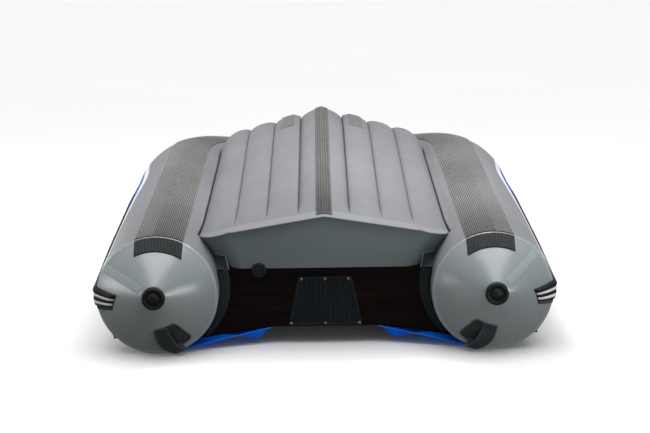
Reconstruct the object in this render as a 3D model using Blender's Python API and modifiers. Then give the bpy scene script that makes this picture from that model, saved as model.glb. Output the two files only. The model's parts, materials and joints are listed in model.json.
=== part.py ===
"""Inflatable motor boat lying upside down, resting on its side tubes at the stern and on its bow.

The boat is modelled in its own frame: X across, Y towards the bow, Z towards the keel, with the
axis of the side tubes at Z = 0 and the ends of the side tubes at Y = 0. An empty carries all of it
and tips it until the stern and the bow both touch the floor. Left and right are -X and +X.
"""

import math

import bmesh
import bpy
from mathutils import Matrix, Vector

# Hull, in metres
TUBE_RADIUS = 0.225
TUBE_SIDES = 48
HALF_SPACING = 0.622  # from the middle plane to the axis of a side tube
SIDE_LENGTH = 1.64
BOW_LENGTH = 1.37
BOW_DROP = 0.242
BOW_DROP_POWER = 1.7
BOW_TAPER = 0.144  # share of the radius that the tube loses on its way to the bow
BOW_STEPS = 26
SEAT_GAP = 0.0003  # between pieces that touch
SOFT_GAP = 0.001  # between the bottom and the side tubes it is bonded to
BOW_SOFT_GAP = 0.0035

# Stern cones
CONE_LENGTH = 0.150
CONE_TIP_RADIUS = 0.042
CONE_TIP_SHIFT = 0.034  # of the tip towards the keel
CONE_BULGE = 0.014
CONE_RINGS = (0.0, 0.22, 0.5, 0.8, 1.0)
CAP_RADIUS = 0.0425
CAP_DEPTH = 0.022

# Inflatable bottom
LOBE_SEAMS = (0.098, 0.219, 0.340)
LOBE_STEPS = 6
LOBE_DEPTH = 0.024
KEEL_LOBE_DEPTH = 0.036
SOLE_DEPTH = 0.010
STERN_EDGE = 0.085  # of the skin
SOLE_EDGE = 0.117
KEEL_AT_STERN = 0.278
KEEL_RISE = 0.069  # metres of depth per metre of length
KEEL_CREST = 1.5  # where the keel is deepest
KEEL_BEND = 0.15
FOREFOOT_START = 2.05
FOREFOOT_DROP = 0.125
CREASE_ANGLE = math.radians(43)
CREASE_CLOSING = math.radians(14.5)
SOLE_HEIGHT = 0.067
EDGE_ROLL = 0.065
STERN_PANEL_REACH = 0.338
BOTTOM_STATIONS = (0.17, 0.24, 0.32, 0.42, 0.60, 0.85, 1.10, 1.35, 1.63)

# Transom
TRANSOM_AFT = 0.120
TRANSOM_THICK = 0.025
TRANSOM_TOP = -0.165  # the board's top edge when the boat floats
TRANSOM_FLAT = 0.200  # half of the level stretch of that edge
TRANSOM_CORNER = 0.470
WING_GAP = 0.0006  # between a wing and the board's edge
WING_THICK = 0.0012
WING_REACH = 0.585  # where a wing meets its tube
HOLDER_WALL = 0.0045
HOLDER_FLANGE = 0.040
HOLDER_LEG = 0.045

# Skins and strips on the tubes
GUARD_OUTER = math.radians(19.9)
GUARD_INNER = math.radians(26.6)
GUARD_THICK = 0.004
PAD_THICK = 0.005
PAD_REACH = 0.36
KEEL_GUARD_WIDTH = 0.060
STRAKE_TOP = math.radians(82.5)
STRAKE_BOTTOM = math.radians(105)

# Fittings
ROPE_ANGLE = math.radians(135)
ROPE_RADIUS = 0.005
RAIL_ANGLE = math.radians(-116.25)
RAIL_START = 0.36
RAIL_END = 1.62
BENCH_WIDTH = 0.20
BENCH_THICK = 0.018
BENCH_PLACES = (("rear", 0.72), ("front", 1.46))
OARLOCK_Y = 1.20
OARLOCK_BOSS = 0.020  # height over the tube of the boss that the oarlock turns on
COLLAR_DROP = 0.029  # from the boss to the middle of the collar

COLOURS = {
    "fabric_grey": ((0.30, 0.31, 0.34), 0.55),
    "cone_grey": ((0.19, 0.23, 0.23), 0.5),
    "panel_grey": ((0.08, 0.11, 0.115), 0.6),
    "guard_grey": ((0.16, 0.16, 0.15), 0.7),
    "pad_grey": ((0.05, 0.055, 0.06), 0.7),
    "rubber_black": ((0.025, 0.028, 0.03), 0.6),
    "blue": ((0.0, 0.08, 0.55), 0.4),
    "strake_white": ((0.7, 0.7, 0.7), 0.5),
    "board": ((0.02, 0.014, 0.012), 0.35),
    "plate": ((0.008, 0.011, 0.014), 0.5),
    "bench_wood": ((0.45, 0.30, 0.17), 0.5),
    "rope": ((0.02, 0.02, 0.025), 0.8),
    "nylon_grey": ((0.12, 0.12, 0.13), 0.5),
}


def clear_scene():
    for obj in list(bpy.data.objects):
        bpy.data.objects.remove(obj, do_unlink=True)


def material(name):
    found = bpy.data.materials.get(name)
    if found:
        return found
    colour, roughness = COLOURS[name]
    made = bpy.data.materials.new(name)
    made.use_nodes = True
    shader = made.node_tree.nodes["Principled BSDF"]
    shader.inputs["Base Color"].default_value = (*colour, 1)
    shader.inputs["Roughness"].default_value = roughness
    shader.inputs["Metallic"].default_value = 0
    made.diffuse_color = (*colour, 1)
    return made


def collection(name):
    made = bpy.data.collections.new(name)
    bpy.context.scene.collection.children.link(made)
    return made


class Boat:
    """The collections and the empty that carries every piece."""

    def __init__(self):
        self.pieces = collection("inflatable_boat")
        self.helpers = collection("cutters")
        self.frame = bpy.data.objects.new("boat_frame", None)
        self.pieces.objects.link(self.frame)

    def add(self, name, data, finish, parent=None):
        obj = bpy.data.objects.new(name, data)
        obj.data.materials.append(material(finish))
        self.pieces.objects.link(obj)
        obj.parent = parent or self.frame
        return obj

    def as_helper(self, obj):
        self.pieces.objects.unlink(obj)
        self.helpers.objects.link(obj)
        obj.hide_render = True
        obj.display_type = "WIRE"
        return obj


class Station:
    """One cross-section of a tube: its centre, the direction to the boat's inside, and its radius."""

    def __init__(self, centre, tangent, radius):
        self.centre = Vector(centre)
        self.radius = radius
        tangent = Vector(tangent).normalized()
        self.inward = tangent.cross(Vector((0, 0, 1))).normalized()
        self.up = self.inward.cross(tangent)

    def outward_at(self, angle):
        return math.cos(angle) * self.up - math.sin(angle) * self.inward

    def point(self, angle, lift=0.0):
        """A point over the flats of the tube's skin. The angle starts at the keel side, outboard is positive."""
        step = 2 * math.pi / TUBE_SIDES
        off_middle = angle % step - step / 2
        flat = self.radius * math.cos(step / 2) / math.cos(off_middle)
        return self.centre + (flat + lift) * self.outward_at(angle)


def side_station(y):
    return Station((-HALF_SPACING, y, 0), (0, 1, 0), TUBE_RADIUS)


def bow_station(turn):
    """turn runs from 0 at the left side tube over a quarter turn at the bow's middle to half a turn."""
    sine, cosine = math.sin(turn), math.cos(turn)
    slope = BOW_DROP * BOW_DROP_POWER * sine ** (BOW_DROP_POWER - 1) * cosine
    centre = (-HALF_SPACING * cosine, SIDE_LENGTH + BOW_LENGTH * sine, -BOW_DROP * sine**BOW_DROP_POWER)
    tangent = (HALF_SPACING * sine, BOW_LENGTH * cosine, -slope)
    return Station(centre, tangent, TUBE_RADIUS * (1 - BOW_TAPER * sine))


def bow_turns():
    """Turns whose steps are short where the bow bends most, from side tube to side tube."""
    turns = []
    for i in range(BOW_STEPS + 1):
        even = math.pi * i / BOW_STEPS
        heading = math.atan2(BOW_LENGTH * math.sin(even), HALF_SPACING * math.cos(even))
        turns.append((even + heading) / 2)
    start = SEAT_GAP / BOW_LENGTH
    turns[0], turns[-1] = start, math.pi - start
    return turns


def half_turns():
    return bow_turns()[: BOW_STEPS // 2 + 1]


def facet_angles(start, end):
    """start, end and every corner of the tube's skin between them."""
    step = 2 * math.pi / TUBE_SIDES
    first = math.floor(start / step) + 1
    last = math.ceil(end / step)
    corners = [i * step for i in range(first, last) if start + 1e-4 < i * step < end - 1e-4]
    return [start, *corners, end]


def cone_ring(share):
    """Centre and radius of the cone at a share of its length from the tube's end to the tip."""
    radius = TUBE_RADIUS + (CONE_TIP_RADIUS - TUBE_RADIUS) * share + CONE_BULGE * math.sin(math.pi * share)
    return Vector((-HALF_SPACING, -SEAT_GAP - CONE_LENGTH * share, CONE_TIP_SHIFT * share)), radius


def cone_point(share, angle, lift):
    """A point over the left cone's skin, read between the two rings on either side of it."""
    after = next(i for i, ring in enumerate(CONE_RINGS) if ring >= share and i > 0)
    low, high = CONE_RINGS[after - 1], CONE_RINGS[after]
    mix = (share - low) / (high - low)
    ends = []
    for ring in (low, high):
        centre, radius = cone_ring(ring)
        station = Station(centre, (0, 1, 0), radius)
        ends.append(station.point(angle))
    spot = ends[0].lerp(ends[1], mix)
    outward = Station(spot, (0, 1, 0), 1).outward_at(angle)
    slant = ends[1] - ends[0]
    normal = outward - slant * outward.dot(slant) / slant.length_squared
    return spot + normal.normalized() * lift


def mirrored(points, right):
    """The same points, or their mirror image for the right side."""
    return [Vector((-p.x, p.y, p.z)) if right else Vector(p) for p in points]


def mesh_of(name, points, faces):
    mesh = bpy.data.meshes.new(name)
    mesh.from_pydata([tuple(p) for p in points], [], faces)
    return mesh


def tidy(mesh, merge=1e-6):
    """Merges what coincides, drops what collapsed, and turns the faces of a closed mesh outwards."""
    bm = bmesh.new()
    bm.from_mesh(mesh)
    bmesh.ops.remove_doubles(bm, verts=bm.verts, dist=merge)
    bmesh.ops.dissolve_degenerate(bm, edges=bm.edges, dist=merge)
    bmesh.ops.recalc_face_normals(bm, faces=bm.faces)
    bm.to_mesh(mesh)
    bm.free()
    return mesh


def smooth(obj, angle=35):
    obj.data.shade_smooth()
    obj.data.set_sharp_from_angle(angle=math.radians(angle))
    return obj


def lofted(name, rings, first_cap=None):
    """A closed solid through rings of equally many points, its ends filled with one face or with first_cap."""
    count = len(rings[0])
    points = [p for ring in rings for p in ring]
    faces = []
    for i in range(len(rings) - 1):
        for j in range(count):
            k = (j + 1) % count
            faces.append((i * count + j, i * count + k, (i + 1) * count + k, (i + 1) * count + j))
    last = (len(rings) - 1) * count
    faces += first_cap or [tuple(range(count))]
    faces.append(tuple(range(last + count - 1, last - 1, -1)))
    return tidy(mesh_of(name, points, faces))


def sheet_mesh(name, rows):
    """An open sheet through rows of equally many points."""
    width = len(rows[0])
    points = [p for row in rows for p in row]
    faces = []
    for i in range(len(rows) - 1):
        for j in range(width - 1):
            a = i * width + j
            faces.append((a, a + 1, a + width + 1, a + width))
    return mesh_of(name, points, faces)


def sheet(boat, name, rows, thick, finish, parent=None):
    """A sheet that Solidify thickens away from the skin it lies on."""
    mesh = sheet_mesh(name, rows)
    bm = bmesh.new()
    bm.from_mesh(mesh)
    bm.normal_update()
    bm.to_mesh(mesh)
    bm.free()
    obj = boat.add(name, mesh, finish, parent)
    shell = obj.modifiers.new("thickness", "SOLIDIFY")
    shell.thickness = thick
    shell.offset = 1
    shell.use_even_offset = True
    return smooth(obj)


def facing(rows, outward):
    """The rows, reversed where that is needed for the sheet's first face to point along outward."""
    a, b, c = rows[0][0], rows[0][1], rows[1][0]
    return rows if (b - a).cross(c - a).dot(outward) > 0 else rows[::-1]


def skin(boat, name, stations, angles, thick, finish, right=False, lift=SEAT_GAP):
    """A sheet that follows the tube from station to station between the given angles."""
    rows = [mirrored([s.point(a, lift) for a in angles], right) for s in stations]
    outward = mirrored([stations[0].outward_at((angles[0] + angles[-1]) / 2)], right)[0]
    return sheet(boat, name, facing(rows, outward), thick, finish)


def box(boat, name, size, place, finish, parent=None, bevel=0.0):
    mesh = bpy.data.meshes.new(name)
    bm = bmesh.new()
    bmesh.ops.create_cube(bm, size=1)
    bmesh.ops.scale(bm, vec=size, verts=bm.verts)
    bm.to_mesh(mesh)
    bm.free()
    obj = boat.add(name, mesh, finish, parent)
    obj.location = place
    if bevel:
        edge = obj.modifiers.new("rounded edges", "BEVEL")
        edge.width = bevel
        edge.segments = 2
    return obj


def outline(boat, name, points, thick, finish, parent=None):
    """A flat outline filled and extruded, standing in the X-Z plane."""
    curve = bpy.data.curves.new(name, "CURVE")
    curve.dimensions = "2D"
    curve.fill_mode = "BOTH"
    curve.extrude = thick / 2
    spline = curve.splines.new("POLY")
    spline.points.add(len(points) - 1)
    for point, (x, z) in zip(spline.points, points):
        point.co = (x, z, 0, 1)
    spline.use_cyclic_u = True
    obj = boat.add(name, curve, finish, parent)
    obj.rotation_euler.x = math.pi / 2
    return obj


def wire(boat, name, points, radius, finish, parent=None, resolution=2):
    curve = bpy.data.curves.new(name, "CURVE")
    curve.dimensions = "3D"
    curve.bevel_depth = radius
    curve.bevel_resolution = resolution
    curve.use_fill_caps = True
    spline = curve.splines.new("POLY")
    spline.points.add(len(points) - 1)
    for point, place in zip(spline.points, points):
        point.co = (*place, 1)
    return boat.add(name, curve, finish, parent)


def as_mesh(boat, obj):
    """The evaluated curve as a mesh object of the same name, with its caps welded on."""
    bpy.context.view_layer.update()
    graph = bpy.context.evaluated_depsgraph_get()
    mesh = bpy.data.meshes.new_from_object(obj.evaluated_get(graph))
    bm = bmesh.new()
    bm.from_mesh(mesh)
    bmesh.ops.remove_doubles(bm, verts=bm.verts, dist=1e-5)
    bmesh.ops.recalc_face_normals(bm, faces=bm.faces)
    bm.to_mesh(mesh)
    bm.free()
    name, parent, place = obj.name, obj.parent, obj.matrix_local.copy()
    bpy.data.objects.remove(obj, do_unlink=True)
    made = bpy.data.objects.new(name, mesh)
    boat.pieces.objects.link(made)
    made.parent = parent
    made.matrix_local = place
    return made


def joined(boat, base, others):
    """Fuses the others, kept as helpers, into the base piece."""
    for i, other in enumerate(others):
        union = base.modifiers.new(f"joined {i}", "BOOLEAN")
        union.operation = "UNION"
        union.object = boat.as_helper(other)
    return base


def turned(boat, name, profile, steps, finish, place, direction, parent=None):
    """A profile of radius and height pairs turned about an axis that points along direction."""
    mesh = mesh_of(name, [(r, 0, h) for r, h in profile], [])
    bm = bmesh.new()
    bm.from_mesh(mesh)
    bm.verts.ensure_lookup_table()
    for a, b in zip(bm.verts[:-1], bm.verts[1:]):
        bm.edges.new((a, b))
    bm.to_mesh(mesh)
    bm.free()
    obj = boat.add(name, mesh, finish, parent)
    obj.location = place
    obj.rotation_mode = "QUATERNION"
    obj.rotation_quaternion = Vector((0, 0, 1)).rotation_difference(Vector(direction))
    screw = obj.modifiers.new("turned", "SCREW")
    screw.steps = screw.render_steps = steps
    screw.use_merge_vertices = True
    screw.merge_threshold = 0.0001
    screw.use_smooth_shade = True
    return obj


SIDES = (("left", False), ("right", True))


def side_sign(right):
    return 1 if right else -1


def build_tubes(boat):
    for side, right in SIDES:
        mesh = bpy.data.meshes.new(f"side_tube_{side}")
        bm = bmesh.new()
        bmesh.ops.create_cone(
            bm, cap_ends=True, segments=TUBE_SIDES, radius1=TUBE_RADIUS, radius2=TUBE_RADIUS, depth=SIDE_LENGTH
        )
        bm.to_mesh(mesh)
        bm.free()
        tube = boat.add(f"side_tube_{side}", mesh, "fabric_grey")
        tube.location = (side_sign(right) * HALF_SPACING, SIDE_LENGTH / 2, 0)
        tube.rotation_euler.x = math.pi / 2
        smooth(tube)
    corners = [2 * math.pi * i / TUBE_SIDES for i in range(TUBE_SIDES)]
    rings = [[bow_station(turn).point(angle) for angle in corners] for turn in bow_turns()]
    smooth(boat.add("bow_tube", lofted("bow_tube", rings), "fabric_grey"))


def build_cones(boat):
    corners = [2 * math.pi * i / TUBE_SIDES for i in range(TUBE_SIDES)]
    for side, right in SIDES:
        rings = [mirrored([cone_point(share, a, 0) for a in corners], right) for share in CONE_RINGS]
        smooth(boat.add(f"stern_cone_{side}", lofted(f"stern_cone_{side}", rings), "cone_grey"))
        tip = mirrored([cone_ring(1)[0]], right)[0]
        profile = [
            (0, CAP_DEPTH),
            (CAP_RADIUS * 0.55, CAP_DEPTH - 0.001),
            (CAP_RADIUS - 0.007, CAP_DEPTH - 0.004),
            (CAP_RADIUS - 0.002, CAP_DEPTH - 0.010),
            (CAP_RADIUS, 0.004),
            (CAP_RADIUS, 0),
            (0, 0),
        ]
        place = tip + Vector((0, -SEAT_GAP, 0))
        turned(boat, f"cone_cap_{side}", profile, 32, "rubber_black", place, (0, -1, 0))


def eased(value):
    value = min(1.0, max(0.0, value))
    return value * value * (3 - 2 * value)


def keel_height(y):
    """Height of the keel over the plane of the tubes' axes."""
    height = KEEL_AT_STERN + KEEL_RISE * (min(y, KEEL_CREST) - STERN_EDGE)
    height -= KEEL_BEND * max(0.0, y - KEEL_CREST) ** 2
    forefoot = max(0.0, y - FOREFOOT_START) / (SIDE_LENGTH + BOW_LENGTH - FOREFOOT_START)
    return height - FOREFOOT_DROP * forefoot**2


def bond_gap(closing):
    """The bottom stands a little further off the bow tube, whose flats are twisted."""
    return SOFT_GAP if closing == 0 else BOW_SOFT_GAP


def crease(station, closing=0.0):
    """Where the bottom's skin meets the tube."""
    return station.point(closing * CREASE_CLOSING - CREASE_ANGLE, bond_gap(closing))


def lobe_ripple(x):
    """How deep the skin dips below the line over the lobes: 0 on a lobe's crown, the full depth in a seam."""
    inner = 0.0
    for seam in LOBE_SEAMS:
        if x <= seam:
            first, last, depth = (-seam, seam, KEEL_LOBE_DEPTH) if inner == 0 else (inner, seam, LOBE_DEPTH)
            across = 2 * (x - first) / (last - first) - 1
            return depth * (1 - math.sqrt(max(0.0, 1 - abs(across) ** 2.3)))
        inner = seam
    across = min(1.0, (x - inner) / 0.065)
    return LOBE_DEPTH * (1 - math.sqrt(max(0.0, 1 - (1 - across) ** 2.3)))


def bottom_height(x, y, edge):
    """Height of the bottom's skin at x, where edge is the crease point on that side."""
    width = max(abs(edge.x), 1e-6)
    bow_share = max(0.0, min(1.0, (y - FOREFOOT_START) / (SIDE_LENGTH + BOW_LENGTH - 0.06 - FOREFOOT_START)))
    stand = 0.028 + 0.040 * eased(y / FOREFOOT_START)
    stand *= 1 - bow_share**2
    stand = min(stand, max(0.0, keel_height(y) - edge.z))
    fall = (keel_height(y) - edge.z - stand) / width
    roll_width = min(EDGE_ROLL, 0.6 * width)
    inset = min(1.0, (width - x) / roll_width)
    ripple = lobe_ripple(x) * eased((y - STERN_EDGE - 0.03) / 0.28) * inset * (1 - 0.7 * bow_share**2)
    roll = stand * (1 - math.sqrt(max(0.0, 1 - (1 - inset) ** 2)))
    return keel_height(y) - fall * x - ripple - roll


def bottom_samples():
    """Distances from the middle plane at which a half of the bottom's skin is read."""
    marks = [0.0, *LOBE_SEAMS, 0.47]
    samples = [0.0]
    for i, (start, end) in enumerate(zip(marks[:-1], marks[1:])):
        steps = LOBE_STEPS // 2 if i == 0 else LOBE_STEPS
        for k in range(1, steps + 1):
            share = k / steps
            bunched = math.sin(share * math.pi / 2) if i == 0 else (1 - math.cos(share * math.pi)) / 2
            samples.append(start + (end - start) * bunched)
    return samples


def bottom_slice(station, closing, drop=0.0, shift=0.0):
    """One closed ring round the bottom at a station of the left tube: skin, tube side, sole, tube side."""
    edge = crease(station, closing)
    sole_angle = -math.acos(SOLE_HEIGHT / TUBE_RADIUS)
    sole_edge = station.point(sole_angle, bond_gap(closing))
    width, sole_width = abs(edge.x), abs(sole_edge.x)
    skin_half, sole_half = [], []
    for sample in bottom_samples():
        x = min(sample, width)
        height = bottom_height(x, edge.y, edge)
        fade = 1 if x < width else 0
        outer = max(0.0, (x - 0.34) / 0.13) ** 2
        skin_half.append(Vector((x, edge.y + shift * outer, height - drop * fade)))
        x = min(sample, sole_width)
        ripple = SOLE_DEPTH * lobe_ripple(x) / LOBE_DEPTH * eased((sole_edge.y - 0.15) / 0.2)
        ripple *= min(1.0, (sole_width - x) / 0.03)
        sole_half.append(Vector((x, sole_edge.y, sole_edge.z + ripple)))
    skin_half[-1] = Vector((width, edge.y + shift, edge.z))
    start, end = closing * CREASE_CLOSING - CREASE_ANGLE, sole_angle
    arc = []
    for k in range(1, 5):
        share = k / 5
        p = station.point(start + (end - start) * share, bond_gap(closing))
        arc.append(Vector((abs(p.x), p.y + shift * (1 - share), p.z)))
    half = skin_half + arc + sole_half[::-1]
    other = [Vector((-p.x, p.y, p.z)) for p in half[1:-1]]
    return half + other[::-1]


def lean(ring):
    """Tips a ring at the stern so that its sole edge lies further ahead than its skin edge."""
    leaned = []
    for p in ring:
        share = max(0.0, min(1.0, (p.z - SOLE_HEIGHT) / (KEEL_AT_STERN - SOLE_HEIGHT)))
        leaned.append(Vector((p.x, p.y + (SOLE_EDGE - STERN_EDGE) * (1 - share), p.z)))
    return leaned


def stern_cap(ring):
    """Faces across the bottom's first ring: upright strips as far as the last seam, then one face each side."""
    half = len(ring) // 2 + 1
    strips = len(bottom_samples()) - 1 - LOBE_STEPS
    faces = [(j, j + 1, half - 2 - j, half - 1 - j) for j in range(strips)]
    faces.append(tuple(range(strips, half - strips)))
    other_side = [tuple((2 * half - 2 - k) % len(ring) for k in face)[::-1] for face in faces]
    return faces + other_side


def build_bottom(boat):
    rings = []
    aft_steps = ((0.0, 0.012, 0.075), (0.006, 0.004, 0.070), (0.022, 0.0, 0.060))
    for ahead, drop, shift in aft_steps:
        rings.append(lean(bottom_slice(side_station(STERN_EDGE + ahead), 0, drop, shift)))
    for y in BOTTOM_STATIONS:
        shift = 0.06 * max(0.0, 1 - (y - 0.1) / 0.3)
        rings.append(bottom_slice(side_station(y), 0, 0.0, shift))
    for turn in half_turns()[1:]:
        closing = math.sin(turn)
        station = bow_station(turn) if turn < math.pi / 2 - 1e-6 else bow_station(math.pi / 2)
        rings.append(bottom_slice(station, closing))
    smooth(boat.add("inflatable_bottom", lofted("inflatable_bottom", rings, stern_cap(rings[0])), "fabric_grey"), 50)


def build_stern_panel(boat):
    """The dark panel that closes the bottom's stern, from its V edge down to the transom."""
    rows = []
    for share in (0.04, 0.5, 0.93):
        row = []
        for i in range(-6, 7):
            x = STERN_PANEL_REACH * i / 6
            top = bottom_height(abs(x), STERN_EDGE, crease(side_station(STERN_EDGE)))
            z = SOLE_HEIGHT + (top - SOLE_HEIGHT) * share
            along = (z - SOLE_HEIGHT) / (KEEL_AT_STERN - SOLE_HEIGHT)
            y = SOLE_EDGE + (STERN_EDGE - SOLE_EDGE) * along - 0.002
            row.append(Vector((x, y, z)))
        rows.append(row)
    sheet(boat, "stern_panel", facing(rows, Vector((0, -1, 0))), 0.002, "panel_grey")


def on_bottom(x, station, closing, lift):
    edge = crease(station, closing)
    return Vector((x, edge.y, bottom_height(abs(x), edge.y, edge) + lift))


def bottom_stations(start, end):
    """The bottom's own rings between two distances from the stern."""
    found = []
    for y in BOTTOM_STATIONS:
        found.append((side_station(y), 0.0))
    for turn in half_turns()[1:]:
        found.append((bow_station(turn), math.sin(turn)))
    return [(s, c) for s, c in found if start <= crease(s, c).y <= end]


def build_bottom_guards(boat):
    half = KEEL_GUARD_WIDTH / 2
    xs = [-half, -half / 2, 0, half / 2, half]
    rows = [[on_bottom(x, side_station(0.118), 0, 0.0007) for x in xs]]
    rows += [[on_bottom(x, s, c, 0.0007) for x in xs] for s, c in bottom_stations(0.16, 2.86)]
    sheet(boat, "keel_guard", facing(rows, Vector((0, 0, 1))), 0.005, "guard_grey")
    middle = (LOBE_SEAMS[0] + LOBE_SEAMS[1]) / 2
    for side, right in SIDES:
        offsets = [side_sign(right) * middle + x * 0.9 for x in xs]
        rows = [[on_bottom(x, s, c, 0.0009) for x in offsets] for s, c in bottom_stations(1.58, 2.5)]
        sheet(boat, f"lobe_guard_{side}", facing(rows, Vector((0, 0, 1))), 0.004, "guard_grey")


def build_tube_guards(boat):
    angles = facet_angles(-GUARD_INNER, GUARD_OUTER)
    run = [side_station(0.004), side_station(SIDE_LENGTH)]
    run += [bow_station(t) for t in half_turns()[1:-1]]
    for side, right in SIDES:
        skin(boat, f"tube_guard_{side}", run, angles, GUARD_THICK, "guard_grey", right, 0.0005)
        shares = (0.03, CONE_RINGS[1], PAD_REACH)
        rows = [mirrored([cone_point(s, a, SEAT_GAP * 2) for a in angles], right) for s in shares]
        sheet(boat, f"cone_pad_{side}", facing(rows, Vector((0, 0, 1))), PAD_THICK, "pad_grey")


def strake_profile():
    """Angle and height pairs round the strake: two proud beads and the flange between them."""
    feet = facet_angles(STRAKE_TOP, STRAKE_BOTTOM)
    degrees = math.degrees(STRAKE_TOP)
    face = (
        (0, 0.006), (0.8, 0.013), (2.8, 0.015), (4.4, 0.012), (5.4, 0.006), (6.4, 0.006), (7.4, 0.012),
        (9.6, 0.014), (11.6, 0.012), (12.6, 0.006), (13.6, 0.006), (14.6, 0.011), (16.4, 0.012),
        (17.8, 0.009), (18.6, 0.004), (22.5, 0.003),
    )
    lows = [(a, SEAT_GAP) for a in feet]
    highs = [(math.radians(degrees + step), height) for step, height in face]
    return lows + highs[::-1]


def build_strake(boat):
    """One strake from the left cone round the bow to the right cone."""
    profile = strake_profile()
    left = [[cone_point(share, a, h * 0.8) for a, h in profile] for share in (0.38, CONE_RINGS[1])]
    left.append([side_station(0.0).point(a, h) for a, h in profile])
    left.append([side_station(SIDE_LENGTH).point(a, h) for a, h in profile])
    right = [mirrored(ring, True) for ring in left[::-1]]
    bow = [[bow_station(t).point(a, h + 0.0004) for a, h in profile] for t in bow_turns()[1:-1]]
    smooth(boat.add("rub_strake", lofted("rub_strake", left + bow + right), "strake_white"), 30)


def transom_outline():
    """Outline of the board: level top edge, drooping corners, edges round the tubes, level foot."""
    lift = HOLDER_WALL + 2 * SEAT_GAP + 0.0006
    foot = SOLE_HEIGHT - SEAT_GAP
    station = side_station(0)
    radius = TUBE_RADIUS + lift
    start = -math.pi + math.asin((HALF_SPACING - TRANSOM_CORNER) / radius)
    end = -math.acos(foot / radius)
    arc = [station.point(a, lift) for a in facet_angles(start, end)]
    half = [(-TRANSOM_FLAT, TRANSOM_TOP), (-TRANSOM_CORNER, wing_height(TRANSOM_CORNER) + WING_GAP)]
    half += [(p.x, p.z) for p in arc[:-1]]
    half.append((arc[-1].x, foot))
    return half + [(-x, z) for x, z in half[::-1]]


def wing_height(x):
    """Height of the wing's face at a distance from the middle plane: level with the board, then falling."""
    reach = (x - TRANSOM_FLAT) / (WING_REACH - TRANSOM_FLAT)
    return TRANSOM_TOP - WING_GAP - 0.0575 * max(0.0, reach)


def build_transom(boat):
    board = outline(boat, "transom_board", transom_outline(), TRANSOM_THICK, "board")
    board.location.y = TRANSOM_AFT + TRANSOM_THICK / 2
    plate = [(-0.101, 0.032), (0.101, 0.032), (0.141, -0.162), (-0.141, -0.162)]
    outer = outline(boat, "motor_plate_outer", plate, 0.006, "plate")
    outer.location.y = TRANSOM_AFT - 0.003 - SEAT_GAP
    inner_plate = [(-0.14, -0.03), (0.14, -0.03), (0.14, -0.162), (-0.14, -0.162)]
    inner = outline(boat, "motor_plate_inner", inner_plate, 0.008, "plate")
    inner.location.y = TRANSOM_AFT + TRANSOM_THICK + 0.004 + SEAT_GAP


def build_transom_holders(boat):
    aft, ahead = TRANSOM_AFT, TRANSOM_AFT + TRANSOM_THICK
    wall, flange, leg = HOLDER_WALL, HOLDER_FLANGE, HOLDER_LEG
    gap = SEAT_GAP
    section = [
        (aft - leg, 0), (ahead + leg, 0), (ahead + leg, 0.003), (ahead + wall + gap, wall),
        (ahead + wall + gap, flange), (ahead + gap, flange), (ahead + gap, wall), (aft - gap, wall),
        (aft - gap, flange), (aft - wall - gap, flange), (aft - wall - gap, wall), (aft - leg, 0.003),
    ]
    low = -math.acos((SOLE_HEIGHT - 0.006) / (TUBE_RADIUS + 0.0003))
    angles = facet_angles(math.radians(-139), low - math.radians(1.5))
    for side, right in SIDES:
        rings = []
        for angle in angles:
            ring = [side_station(y).point(angle, SEAT_GAP + h) for y, h in section]
            rings.append(mirrored(ring, right))
        smooth(boat.add(f"transom_holder_{side}", lofted(f"transom_holder_{side}", rings), "rubber_black"))


def build_transom_wings(boat):
    """Fabric from the board's top corners out onto the tubes, pointing at the floor as the boat lies."""
    for side, right in SIDES:
        start = TRANSOM_FLAT + 0.004
        path = [start + (WING_REACH - start) * i / 8 for i in range(9)]
        rows = []
        for along in (0, 0.5, 1):
            row = []
            for i, x in enumerate(path):
                share = i / 8
                back = TRANSOM_AFT - 0.004 - 0.112 * share**1.1
                front = TRANSOM_AFT + TRANSOM_THICK + 0.01 + 0.16 * share
                row.append(Vector((-x, back + (front - back) * along, wing_height(x))))
            rows.append(mirrored(row, right))
        sheet(boat, f"transom_wing_{side}", facing(rows, Vector((0, 0, -1))), WING_THICK, "blue")


def build_drain_valve(boat):
    place = (-0.247, TRANSOM_AFT - 0.0115, 0.062)
    profile = [(0, 0.010), (0.012, 0.011), (0.020, 0.010), (0.026, 0.006), (0.028, 0.001), (0.028, 0), (0, 0)]
    disc = turned(boat, "drain_valve", profile, 28, "rubber_black", place, (0, -1, 0))
    spigot_profile = [(0, 0.003), (0.012, 0.003), (0.012, -0.0111), (0, -0.0111)]
    lower = (place[0], place[1], place[2] - 0.012)
    spigot = turned(boat, "drain_spigot", spigot_profile, 20, "rubber_black", lower, (0, -1, 0))
    joined(boat, disc, [spigot])


def arch(foot_a, foot_b, rise, steps=8):
    """Points of a grip that leaves one foot, runs clear of the skin and comes back at the other."""
    shares = [i / steps for i in range(steps + 1)]
    return [foot_a.lerp(foot_b, s) + rise * math.sin(math.pi * s) ** 0.45 for s in shares]


def foot_lift(grip_radius):
    """How far over the skin a grip starts, so that it is sunk in its patch and clear of the skin."""
    return 0.8 * grip_radius + 0.0015


def build_handle(boat, name, patch_rows, outward, foot_a, foot_b, rise, grip_radius):
    """A rubber patch on the skin with an arched grip standing on it."""
    base = sheet(boat, name, facing(patch_rows, outward), 0.005, "rubber_black")
    grip = wire(boat, f"{name}_grip", arch(foot_a, foot_b, rise), grip_radius, "rubber_black")
    return joined(boat, base, [as_mesh(boat, grip)])


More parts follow.
